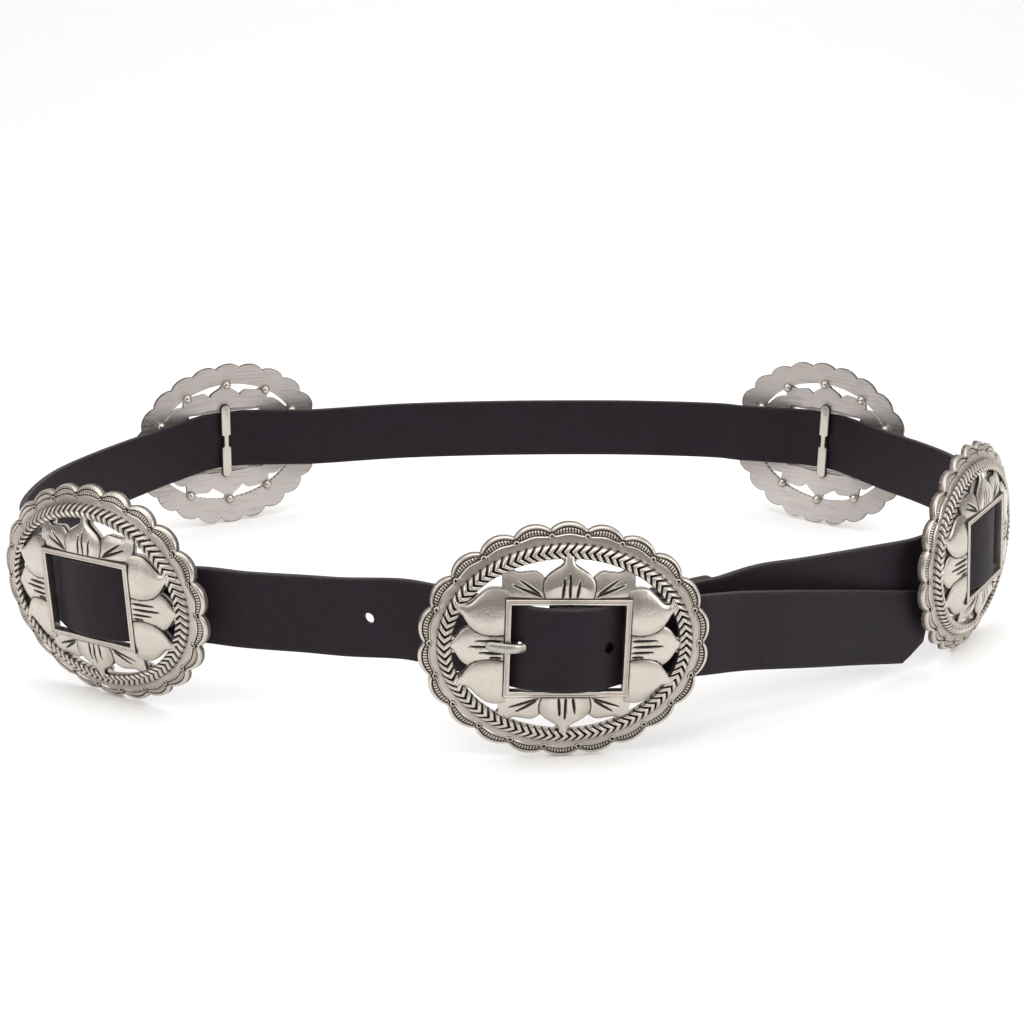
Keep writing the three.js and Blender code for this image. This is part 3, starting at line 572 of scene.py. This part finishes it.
def sheet_behind():
    """The pierced sheet that the petals stand on: from the frame to the ring, gaps cut through."""
    around, rows = 176, 9

    def place(i, j):
        a = 2 * math.pi * (i + 0.5) / around
        c, s = math.cos(a), math.sin(a)
        r0 = min((FRAME_A - 0.9) / max(abs(c), 1e-9), (FRAME_B - 0.9) / max(abs(s), 1e-9))
        r1 = 1 / math.hypot(c / (RING_A + 0.8), s / (RING_B + 0.8))
        k = j if j <= rows else 2 * rows + 1 - j
        r = r0 + (r1 - r0) * k / rows
        x, y = r * c, r * s
        return Vector((x, y, dome_front(x, y) - 0.3 if j <= rows else dome_back(x, y))), 0.0

    plate = sheet(around, 2 * rows + 2, place, round_x=True, round_y=True)
    bmesh.ops.recalc_face_normals(plate, faces=plate.faces)
    # The gaps follow the petals' edges, and on the outside the ring, at these angles
    ring = lambda angles: [(RING_A * math.cos(math.radians(a)), RING_B * math.sin(math.radians(a))) for a in angles]
    top, beside = through_points(TOP_EDGE, 24), through_points(PETALS[0][1], 30)
    leaf_up, leaf_low = through_points(PETALS[1][1], 24), through_points(PETALS[1][0], 24)
    side = through_points(SIDE_EDGE, 24)
    gaps = [
        [tuple(q) for q in top if 20.4 < q[1] < 25.6] + ring((85.5, 80, 74, 68, 62, 58.6))
        + [tuple(q) for q in beside[::-1] if q[0] > 7.2 and q[1] < 22.9],
        [(19.5, 17.75), (19.5, 21.0)] + ring((53.2, 48, 42, 36, 31))
        + [tuple(q) for q in leaf_up[::-1] if 20.2 < q[0] < 29.2],
        [tuple(q) for q in leaf_low if q[0] > 28.6 and q[1] < 9.0] + ring((21, 17, 13, 9, 5.6))
        + [tuple(q) for q in side[::-1] if 29.2 < q[0] < 33.0],
    ]
    cutters = []
    for g in gaps:
        g = [Vector((x, y, 0)) for x, y in g]
        mid = sum(g, Vector()) / len(g)
        bm = bmesh.new()
        oxide_painted_shade_and_edge = bm.verts.layers.float.new("oxide_painted_shade_and_edge")
        face = bm.faces.new([bm.verts.new(v + (v - mid).normalized() * 0.1 + Vector((0, 0, -2))) for v in g])
        bmesh.ops.triangulate(bm, faces=[face])
        top_side = bmesh.ops.extrude_face_region(bm, geom=bm.faces[:])["geom"]
        bmesh.ops.translate(bm, vec=(0, 0, 16), verts=[v for v in top_side if isinstance(v, bmesh.types.BMVert)])
        bmesh.ops.recalc_face_normals(bm, faces=bm.faces)
        for v in bm.verts:
            v[oxide_painted_shade_and_edge] = 0.3
        cutters += [mirrored(bm, x, y) for x in (False, True) for y in (False, True)]
        bm.free()
    return cut(plate, cutters)


def window_frame():
    """The square frame round the window, with a fine raised lip inside and out."""
    # (distance in from the outside, height from the top, oxide)
    section = [(0, -FRAME_THICK + 0.3, 0.7), (0, -0.42, 0.7), (0.06, -0.18, 0.1), (0.2, 0, 0), (0.4, 0, 0),
               (0.55, -0.16, 0.25), (0.95, -0.2, 0.12), (1.2, -0.16, 0.2), (1.35, -0.02, 0), (1.6, -0.02, 0),
               (1.74, -0.16, 0), (FRAME_WIDTH, -0.4, 0.1), (FRAME_WIDTH, -FRAME_THICK - 0.1, 0.3),
               (FRAME_WIDTH - 0.2, -FRAME_THICK - 0.3, 0.2)]
    per_side = 12

    def place(i, j):
        q, dz, dark = section[j]
        x, y = FRAME_A - q, FRAME_B - q
        side, k = divmod(i, per_side)
        f = 2 * (k / per_side) - 1
        x, y = [(x * f, -y), (x, y * f), (-x * f, y), (-x, -y * f)][side]
        return Vector((x, y, FRAME_TOP + dz)), dark

    bm = sheet(4 * per_side, len(section), place, round_x=True, round_y=True)
    bmesh.ops.recalc_face_normals(bm, faces=bm.faces)
    return bm


def back_bar():
    """The bar across the window's back: rounded ends and a narrow waist for the tongue."""
    bm = bmesh.new()
    oxide_painted_shade_and_edge = bm.verts.layers.float.new("oxide_painted_shade_and_edge")
    bmesh.ops.create_cube(bm, size=1)
    bmesh.ops.scale(bm, vec=(BAR_WIDTH, BAR_LENGTH, BAR_THICK), verts=bm.verts)
    half_waist, shoulder = WAIST_LENGTH / 2, WAIST_LENGTH / 2 + 0.7
    for y in (-shoulder, -half_waist, half_waist, shoulder):
        bmesh.ops.bisect_plane(bm, geom=bm.verts[:] + bm.edges[:] + bm.faces[:], plane_co=(0, y, 0), plane_no=(0, 1, 0))
    for v in bm.verts:
        if abs(v.co.y) < half_waist + 0.1:
            v.co.x *= WAIST_WIDTH / BAR_WIDTH
    upright = [e for e in bm.edges if all(abs(abs(v.co.y) - BAR_LENGTH / 2) < 0.01 for v in e.verts)
               and abs(e.verts[0].co.z - e.verts[1].co.z) > 0.5]
    bmesh.ops.bevel(bm, geom=upright, offset=2.1, segments=6, profile=0.5, affect="EDGES", material=-1)
    rim = [e for e in bm.edges if e.is_manifold and e.calc_face_angle(0) > 0.6
           and abs(e.verts[0].co.z - e.verts[1].co.z) < 0.01]
    bmesh.ops.bevel(bm, geom=rim, offset=0.45, segments=3, profile=0.5, affect="EDGES", material=-1)
    bmesh.ops.translate(bm, vec=(0, 0, BAR_MIDDLE), verts=bm.verts)
    # Painted shade: the bar's sides and rounded rims are darkened, and its flat front and back faces are kept at the
    # brightest tone.
    for v in bm.verts:
        v[oxide_painted_shade_and_edge] = -0.12 if abs(v.co.z - BAR_MIDDLE) > BAR_THICK / 2 - 0.02 else 0.7
    return bm


BALL_RADIUS = 2.0                    # a fourth over the solid's, as they stand out in the photo


def back_balls():
    """The balls left on the back where the petals join the ring."""
    made = []
    for x, y in ((RING_A, 0), (30.8, 11.3), (18.3, 22.2), (0, RING_B)):
        for sx in ((1, -1) if x else (1,)):
            for sy in ((1, -1) if y else (1,)):
                bm = bmesh.new()
                oxide_painted_shade_and_edge = bm.verts.layers.float.new("oxide_painted_shade_and_edge")
                bmesh.ops.create_uvsphere(bm, u_segments=20, v_segments=12, radius=BALL_RADIUS)
                bmesh.ops.translate(bm, vec=(sx * x, sy * y, dome_back(x, y) - 0.45), verts=bm.verts)
                for v in bm.verts:
                    v[oxide_painted_shade_and_edge] = -0.25 + smooth(-0.8, 0.0, v.co.z - dome_back(x, y)) * 1.1
                made.append(bm)
    return made


def casting():
    """A whole concho in its own flat frame, with its plan map and the share that was sanded."""
    bm = gather([border_and_rope()] + notch_beads() + petals()
                + [sheet_behind(), window_frame(), back_bar()] + back_balls())
    plan = bm.loops.layers.uv.new("plan")
    brushed = bm.verts.layers.float.new("brushed")
    for f in bm.faces:
        for loop in f.loops:
            loop[plan].uv = (loop.vert.co.x / PLAN, loop.vert.co.y / PLAN)
    bm.normal_update()
    for v in bm.verts:
        backward = v.normal.z < -0.5 and v.co.z < FRAME_BOTTOM + 0.5
        v[brushed] = 1.0 if backward and v[bm.verts.layers.float["oxide_painted_shade_and_edge"]] >= 0 else 0.0
    mesh = bpy.data.meshes.new("casting")
    bm.to_mesh(mesh)
    bm.free()
    return mesh


# The strap --------------------------------------------------------------------

SEAT = BAR_FRONT + BAR_CLEAR + STRAP_THICK / 2
LAYER = STRAP_THICK + CLEAR
TOP = SEAT + LAYER


# The strap's middle line between the conchos: x and y in shares of the loop, height in
# shares of a concho's half height. The tail's rows add its lean in degrees.
FIXED_RUN = [(0.406, -0.667, 0.963), (0.483, -0.616, 0.952), (0.561, -0.563, 0.946), (0.642, -0.51, 0.946)]
RIGHT_RUN = [(0.943, 0.13, 1.029), (0.934, 0.275, 1.018), (0.901, 0.416, 1.007)]
BACK_RUN = [(0.499, 0.936, 1.015), (0.3, 0.959, 1.029), (0.099, 0.96, 1.034), (-0.102, 0.947, 1.034),
            (-0.302, 0.924, 1.023)]
LEFT_RUN = [(-0.94, 0.34, 0.996), (-0.987, 0.14, 0.996), (-0.997, -0.043, 0.996), (-0.979, -0.224, 0.996)]
FRONT_RUN = [(-0.487, -0.723, 0.974), (-0.381, -0.744, 0.966), (-0.311, -0.769, 0.974)]
TAIL_RUN = [(0.361, -0.791, 0.875, 2), (0.436, -0.736, 0.809, 2), (0.518, -0.663, 0.71, 2), (0.603, -0.581, 0.6, 1.5),
            (0.689, -0.503, 0.49, 0.5), (0.749, -0.443, 0.413, 0)]
FLAP_ROUND = 4.0                     # radius of the flap's corners
TAIL_CLIP, TAIL_NARROW = 9, 7.5      # length of the tail's clipped corners, and how much each takes
TAIL_TURN = 38                       # degrees that the tail faces round from straight ahead


def seat_depth(x, slope, radius, top):
    """Depth of the strap at x where it rolls over the bar and leaves on a slope in degrees."""
    a = math.radians(slope)
    e, xa = abs(x), radius * math.sin(a)
    if e < xa:
        return top - (radius - math.sqrt(radius ** 2 - e ** 2))
    return top - radius * (1 - math.cos(a)) - (e - xa) * math.tan(a)


def strap_route():
    """Points of the strap's middle line with its upright direction, flap end first."""
    route = []
    up = lambda k: STAND[k].to_3x3() @ Vector((0, 1, 0))
    add = lambda p, v=None: route.append((Vector(p), v))
    local = lambda x, d, k="buckle": add(STAND[k] @ Vector((x, 0, d)), up(k))
    spot = lambda x, y, z: Vector((x * LOOP_X, y * LOOP_Y, z * TIP_B)) + CENTRED

    def plan(*points):
        for p in points:
            add(spot(*p))

    def through(k, left, right):
        reach = [f * WINDOW_X for f in (0.25, 0.5, 0.75, 1, 1.4, 1.8, 2.17)]
        for x in [-v for v in reach[::-1]] + [0] + reach:
            slope, radius = left if x < 0 else right
            local(x, seat_depth(x, slope, radius, SEAT), k)

    # The fixed end leaves the bar to the right: (x, drop from the seat)
    fixed = [(x, SEAT - drop) for x, drop in ((2.4, 0.1), (5, 0.75), (8, 2.0), (12, 4.3), (17, 7.6), (24, 12.6),
                                             (32, 18.6), (40, 24), (45.5, 27.9), (52, 31.6))]
    turn_x, turn_r = -2.1, SEAT - BAR_MIDDLE
    # The flap lies one layer behind the fixed end, and stands off more where it leaves the turn
    parted = (2 * turn_r - LAYER - 0.05, 1.5, 0.4)
    flap = []
    for i, (x, d) in enumerate(fixed):
        x0, d0 = fixed[max(0, i - 1)]
        x1, d1 = fixed[min(len(fixed) - 1, i + 1)]
        l, off = math.hypot(x1 - x0, d1 - d0), LAYER + (parted[i] if i < 3 else 0)
        flap.append((x + off * (d1 - d0) / l, d - off * (x1 - x0) / l))
    for x, d in flap[::-1]:
        local(x, d)
    for a in (-90, -60, -30, 0, 30, 60, 90):
        local(turn_x - turn_r * math.cos(math.radians(a)), BAR_MIDDLE + turn_r * math.sin(math.radians(a)))
    for x, d in fixed:
        local(x, d)
    plan(*FIXED_RUN)
    through("concho_right_front", (24, 31), (27, 36))
    plan(*RIGHT_RUN)
    through("concho_right_back", (24, 31), (27, 33))
    plan(*BACK_RUN)
    through("concho_left_back", (24, 31), (27, 33))
    plan(*LEFT_RUN)
    through("concho_left_front", (28, 33), (25, 32))
    plan(*FRONT_RUN)
    for x, drop in ((-46.7, 29.8), (-40, 26), (-32, 20.2), (-24, 13.5)):
        local(x, TOP - drop)
    for x in (-17, -12, -8, -4, 0):
        local(x, seat_depth(x, 44, 24, TOP))
    for x, drop in ((4, 0.4), (8, 1.8), (12, 4.1), (17, 7.5), (24, 10.3), (31, 12.1), (41, 14.2)):
        local(x, TOP - drop)
    inward = Vector((-math.sin(math.radians(TAIL_TURN)), math.cos(math.radians(TAIL_TURN)), 0))
    for x, y, z, lean in TAIL_RUN:
        l = math.radians(lean)
        add(spot(x, y, z), inward * math.sin(l) + Vector((0, 0, math.cos(l))))
    return route


def strap_samples():
    """The route as evenly spaced stations: place, along, upright, outward and length."""
    route = strap_route()
    p, n = [r[0] for r in route], len(route)
    dist = [0.0]
    for i in range(1, n):
        dist.append(dist[-1] + (p[i] - p[i - 1]).length)
    ups = []
    for i in range(n):
        a = b = i
        while route[a][1] is None:
            a -= 1
        while route[b][1] is None:
            b += 1
        f = 0 if a == b else (dist[i] - dist[a]) / (dist[b] - dist[a])
        ups.append(route[a][1].lerp(route[b][1], f).normalized())
    # Centripetal curve through the points
    fine = []
    for i in range(n - 1):
        p0 = p[i - 1] if i else p[0] * 2 - p[1]
        p3 = p[i + 2] if i + 2 < n else p[n - 1] * 2 - p[n - 2]
        spans = ((p0, p[i]), (p[i], p[i + 1]), (p[i + 1], p3))
        k0, k1, k2 = [max(1e-4, (b - a).length) ** 0.5 for a, b in spans]
        m1 = (p[i] - p0) / k0 - (p[i + 1] - p0) / (k0 + k1) + (p[i + 1] - p[i]) / k1
        m2 = (p[i + 1] - p[i]) / k1 - (p3 - p[i]) / (k1 + k2) + (p3 - p[i + 1]) / k2
        m1, m2 = m1 * k1, m2 * k1
        for s in range(24):
            t = s / 24
            fine.append((p[i] * (2 * t ** 3 - 3 * t ** 2 + 1) + m1 * (t ** 3 - 2 * t ** 2 + t)
                         + p[i + 1] * (3 * t ** 2 - 2 * t ** 3) + m2 * (t ** 3 - t ** 2), ups[i].lerp(ups[i + 1], t)))
    fine.append((p[-1], ups[-1]))
    co, vs = np.array([q[0] for q in fine]), np.array([q[1] for q in fine])
    run = np.concatenate([[0], np.cumsum(np.linalg.norm(np.diff(co, axis=0), axis=1))])
    return co, vs, run


def strap_frame(co, vs, run, s):
    """Place, along, upright and outward at length s."""
    at = lambda s: Vector([float(np.interp(s, run, co[:, k])) for k in range(3)])
    v = Vector([float(np.interp(s, run, vs[:, k])) for k in range(3)])
    t = (at(min(run[-1], s + 0.5)) - at(max(0, s - 0.5))).normalized()
    v = (v - t * v.dot(t)).normalized()
    return at(s), t, v, t.cross(v)


def strap():
    """The leather strap swept along its route, edges eased, ends shaped and holes punched.
    Its oxide layer holds how pale the cut edge is."""
    co, vs, run = strap_samples()
    total = float(run[-1])
    c = STAND["buckle"] @ Vector((0, 0, TOP))
    zero = float(run[np.argmin(np.linalg.norm(co - np.array(c), axis=1) + (run < 300) * 1e3)])
    steps = ([0, 0.6, 1.2, 2.0, 3.0, FLAP_ROUND] + list(np.linspace(5.5, total - 10.5, 520))
             + [total - TAIL_CLIP, total - 6, total - 3, total])
    w, h, ease = STRAP_WIDTH / 2, STRAP_THICK / 2, 0.42
    # One side of the section: (upright, outward, paleness of the cut edge)
    profile = []
    for sx, sy in ((1, 1), (-1, -1)):
        side = [(0.0, h, 0), (w * 0.5, h, 0), (w - 1.4, h, 0), (w - ease, h, 0.15),
                (w - ease * 0.3, h - ease * 0.3, 0.8), (w, h - ease, 1), (w, 0, 1), (w, ease - h, 1),
                (w - ease * 0.3, ease * 0.3 - h, 0.8), (w - ease, -h, 0.15), (w - 1.4, -h, 0), (w * 0.5, -h, 0)]
        profile += [(sx * a, sy * b, e) for a, b, e in side]

    def place(i, j):
        s = steps[i]
        q, t, v, n = strap_frame(co, vs, run, s)
        a, b, edge = profile[j]
        half = w
        if s < FLAP_ROUND:
            half = w - FLAP_ROUND + math.sqrt(max(0, FLAP_ROUND ** 2 - (FLAP_ROUND - s) ** 2))
        if s > total - TAIL_CLIP:
            half = w - TAIL_NARROW * (s - total + TAIL_CLIP) / TAIL_CLIP
        a = max(-half, min(half, a)) if abs(a) < w - 0.5 else math.copysign(half - (w - abs(a)), a)
        if i in (0, len(steps) - 1):
            edge = 1
        return q + v * a + n * b, edge

    bm = capped(sheet(len(steps) - 1, len(profile), place, round_y=True))
    cutters = []
    for k in range(-2, 3):
        s = zero + TONGUE_HOLE + k * HOLE_SPACING
        q, t, v, n = strap_frame(co, vs, run, s)
        m = Matrix((t, v, n)).transposed().to_4x4()
        m.translation = q
        hole = bmesh.new()
        oxide_painted_shade_and_edge = hole.verts.layers.float.new("oxide_painted_shade_and_edge")
        # From the tongue's hole on, the layer under it lies close and is not to be cut
        deep = STRAP_THICK / 2 + (0.12 if k >= 0 else 1)
        bmesh.ops.create_cone(hole, cap_ends=True, segments=32, radius1=HOLE_DIAMETER / 2, radius2=HOLE_DIAMETER / 2,
                              depth=2 * deep, matrix=m)
        for x in hole.verts:
            x[oxide_painted_shade_and_edge] = 0.5
        cutters.append(hole)
    # Slot in the fixed end for the tongue's ring
    under, back = TOP - STRAP_THICK / 2, BAR_MIDDLE - 3.9
    slot = bmesh.new()
    slot.verts.layers.float.new("oxide_painted_shade_and_edge")
    side = [(-6.3, back), (3.9, back), (3.9, under - 0.12), (-2, under - 0.14), (-4.2, under - 0.65),
            (-6.3, under - 2.05)]
    face = slot.faces.new([slot.verts.new((x, -2.4, d)) for x, d in side])
    out = bmesh.ops.extrude_face_region(slot, geom=[face])["geom"]
    bmesh.ops.translate(slot, vec=(0, 4.8, 0), verts=[v for v in out if isinstance(v, bmesh.types.BMVert)])
    bmesh.ops.recalc_face_normals(slot, faces=slot.faces)
    bmesh.ops.transform(slot, matrix=STAND["buckle"], verts=slot.verts)
    cutters.append(slot)
    return cut(bm, cutters)


# The tongue and the rivet -----------------------------------------------------

# The tongue's arm from the bar to its tip: across, out, and how far it lies above the middle
ARM = [(-1.6, BAR_MIDDLE + 1.95, 0), (-4.5, BAR_MIDDLE + 1.8, 0), (-8, BAR_MIDDLE + 1.45, 0.1),
       (-10.4, FRAME_TOP - 1.6, 0.15), (-12.6, FRAME_TOP - 0.7, 0.2), (-14.8, FRAME_TOP + 0.6, 0.3),
       (-16.8, FRAME_TOP + 1.15, 0.4), (-18.8, FRAME_TOP + 1.05, 0.55), (-21.5, FRAME_TOP + 0.4, 0.7),
       (-24.0, FRAME_TOP - 0.4, 0.9)]
ARM_HALF_WIDTH, ARM_HALF_THICK = 1.5, 0.8
EYE_RADIUS, EYE_THICK, EYE_WIDE = 2.42, 0.6, 1.4      # the tongue's ring: radius and half section


def tongue():
    """A flattened cast arm with a domed front and a ring round the bar's waist."""
    along, around, last = 60, 20, 5.2       # the arm's steps, and how many of them round its tip
    line = through_points([(x, d) for x, d, _ in ARM], along)
    aside = lambda x: float(np.interp(-x, [-p[0] for p in ARM], [p[2] for p in ARM]))

    def place(i, j):
        x, d = line[i]
        x0, d0 = line[max(0, i - 1)]
        x1, d1 = line[min(along, i + 1)]
        l = math.hypot(x1 - x0, d1 - d0)
        nx, nd = (d1 - d0) / l, -(x1 - x0) / l
        end = math.sqrt(max(0.02, 1 - max(0, (i - along + 5) / last) ** 2))
        a = 2 * math.pi * j / around
        y, b = ARM_HALF_WIDTH * end * math.cos(a), ARM_HALF_THICK * end * math.sin(a)
        # The arm's underside is marked darker as painted shade; the nickel finish does not read this layer.
        return Vector((x + nx * b, y + aside(x), d + nd * b)), 0.35 if math.sin(a) < -0.4 else 0.0

    def ring_place(i, j):
        a, b = 2 * math.pi * i / 36, 2 * math.pi * j / 14
        r = EYE_RADIUS + EYE_THICK * math.cos(b)
        return Vector((r * math.cos(a), EYE_WIDE * math.sin(b), BAR_MIDDLE + r * math.sin(a))), 0.1

    arm = capped(sheet(along, around, place, round_y=True))
    ring = sheet(36, 14, ring_place, round_x=True, round_y=True)
    bmesh.ops.recalc_face_normals(ring, faces=ring.faces)
    bm = gather([arm, ring])
    bmesh.ops.transform(bm, matrix=STAND["buckle"], verts=bm.verts)
    return bm


def rivet():
    """The rivet through flap and strap: a copy of the solid with its heads rounded."""
    bm = bmesh.new()
    bm.from_mesh(SOLIDS["flap_rivet"].data)
    bmesh.ops.transform(bm, matrix=Matrix.Scale(1 / MM, 4) @ SOLIDS["flap_rivet"].matrix_world, verts=bm.verts)
    bmesh.ops.remove_doubles(bm, verts=bm.verts, dist=0.005)
    bmesh.ops.dissolve_limit(bm, angle_limit=math.radians(2), verts=bm.verts, edges=bm.edges)
    oxide_painted_shade_and_edge = bm.verts.layers.float.new("oxide_painted_shade_and_edge")
    for v in bm.verts:
        v[oxide_painted_shade_and_edge] = 0.1
    rims = [e for e in bm.edges if e.calc_face_angle(0) > 1.2]
    bmesh.ops.bevel(bm, geom=rims, offset=0.3, segments=4, profile=0.5, affect="EDGES", material=-1)
    return bm


# Build ------------------------------------------------------------------------

pewter = antiqued_pewter()
leather = dyed_leather()
bright = worn_nickel("worn_tongue_wire", "#A39E98", 0.36)
rivet_steel = worn_nickel("nickel_rivet", "#B4AFA9", 0.38)

pattern = casting()
for name, stand in STAND.items():
    bm = bmesh.new()
    bm.from_mesh(pattern)
    bmesh.ops.transform(bm, matrix=stand, verts=bm.verts)
    finish_piece(name + "_cast", bm, pewter, name, 38)
bpy.data.meshes.remove(pattern)
finish_piece("strap_leather", strap(), leather, "strap", 45)
finish_piece("tongue_arm", tongue(), bright, "tongue", 50)
finish_piece("flap_rivet_set", rivet(), rivet_steel, "flap_rivet", 50)


# Floor, light and camera, in metres -------------------------------------------

def paper_sweep():
    """The paper: 10 m wide, flat from 5 m in front to 0.9 m behind the belt, then up in a curve."""
    bm = bmesh.new()
    bmesh.ops.create_grid(bm, x_segments=1, y_segments=60, size=1)
    for v in bm.verts:
        run, bend, radius = (v.co.y + 1) * 4 - 5, 0.9, 0.9
        a = min(math.pi / 2, max(0, run - bend) / radius)
        rise = max(0, run - bend - radius * math.pi / 2)
        v.co = Vector((v.co.x * 5, min(run, bend) + radius * math.sin(a), radius * (1 - math.cos(a)) + rise))
    mesh = bpy.data.meshes.new("paper_sweep")
    bm.to_mesh(mesh)
    mesh.shade_smooth()
    o = bpy.data.objects.new("paper_sweep", mesh)
    bpy.context.scene.collection.objects.link(o)
    return o


floor = paper_sweep()
paper, _, paper_shader = new_material("white_paper")
paper_shader.inputs["Base Color"].default_value = linear("#F4F3F2")
paper_shader.inputs["Roughness"].default_value = 0.9
paper_shader.inputs["Emission Color"].default_value = linear("#FFFFFF")
paper_shader.inputs["Emission Strength"].default_value = 0.12
floor.data.materials.append(paper)


def softbox(name, at, to, size, power):
    """A white rectangular light turned to a point."""
    light = bpy.data.lights.new(name, "AREA")
    light.shape, light.size, light.size_y, light.energy = "RECTANGLE", size[0], size[1], power
    o = bpy.data.objects.new(name, light)
    o.location = at
    o.rotation_euler = (Vector(to) - Vector(at)).to_track_quat("-Z", "Y").to_euler()
    bpy.context.scene.collection.objects.link(o)


softbox("top_light", (0, -0.1, 1.3), (0, 0, 0), (1.6, 1.6), 11)
softbox("left_light", (-1.2, -0.9, 0.7), (0, 0, 0.03), (0.8, 0.9), 4.5)
softbox("right_light", (1.2, -0.7, 0.6), (0, 0, 0.03), (0.6, 0.9), 5.5)

world = bpy.data.worlds.new("studio")
world.use_nodes = True
room = world.node_tree
height = node(room, "ShaderNodeSeparateXYZ", {"Vector": node(room, "ShaderNodeTexCoord").outputs["Generated"]})
# The metal mirrors a studio that is dark at eye height. The camera sees pale walls past the paper
sky = node(room, "ShaderNodeValToRGB", {"Fac": height.outputs["Z"]},
           stops=[(0.0, "#5A5754"), (0.2, "#999591"), (0.5, "#FFFFFF")])
studio = node(room, "ShaderNodeBackground", {"Color": sky.outputs["Color"]}, {"Strength": 0.8})
walls = node(room, "ShaderNodeBackground", inputs={"Color": linear("#F4F3F2"), "Strength": 1})
seen = node(room, "ShaderNodeLightPath").outputs["Is Camera Ray"]
both = node(room, "ShaderNodeMixShader", {0: seen, 1: studio.outputs[0], 2: walls.outputs[0]})
room.links.new(both.outputs[0], room.nodes["World Output"].inputs["Surface"])
room.nodes.remove(room.nodes["Background"])
bpy.context.scene.world = world
bpy.context.scene.view_settings.view_transform = "Standard"

# The photograph's camera: 53.5 mm, 17 degrees down
camera = bpy.data.objects.new("camera", bpy.data.cameras.new("camera"))
camera.data.lens, camera.data.sensor_width, camera.data.sensor_fit = 53.5, 36, "AUTO"
camera.data.clip_start = 0.01
camera.location = (-0.004, -0.5485, 0.2037)
camera.rotation_euler = (math.radians(90 - 16.95), 0, 0)
bpy.context.scene.collection.objects.link(camera)
bpy.context.scene.camera = camera
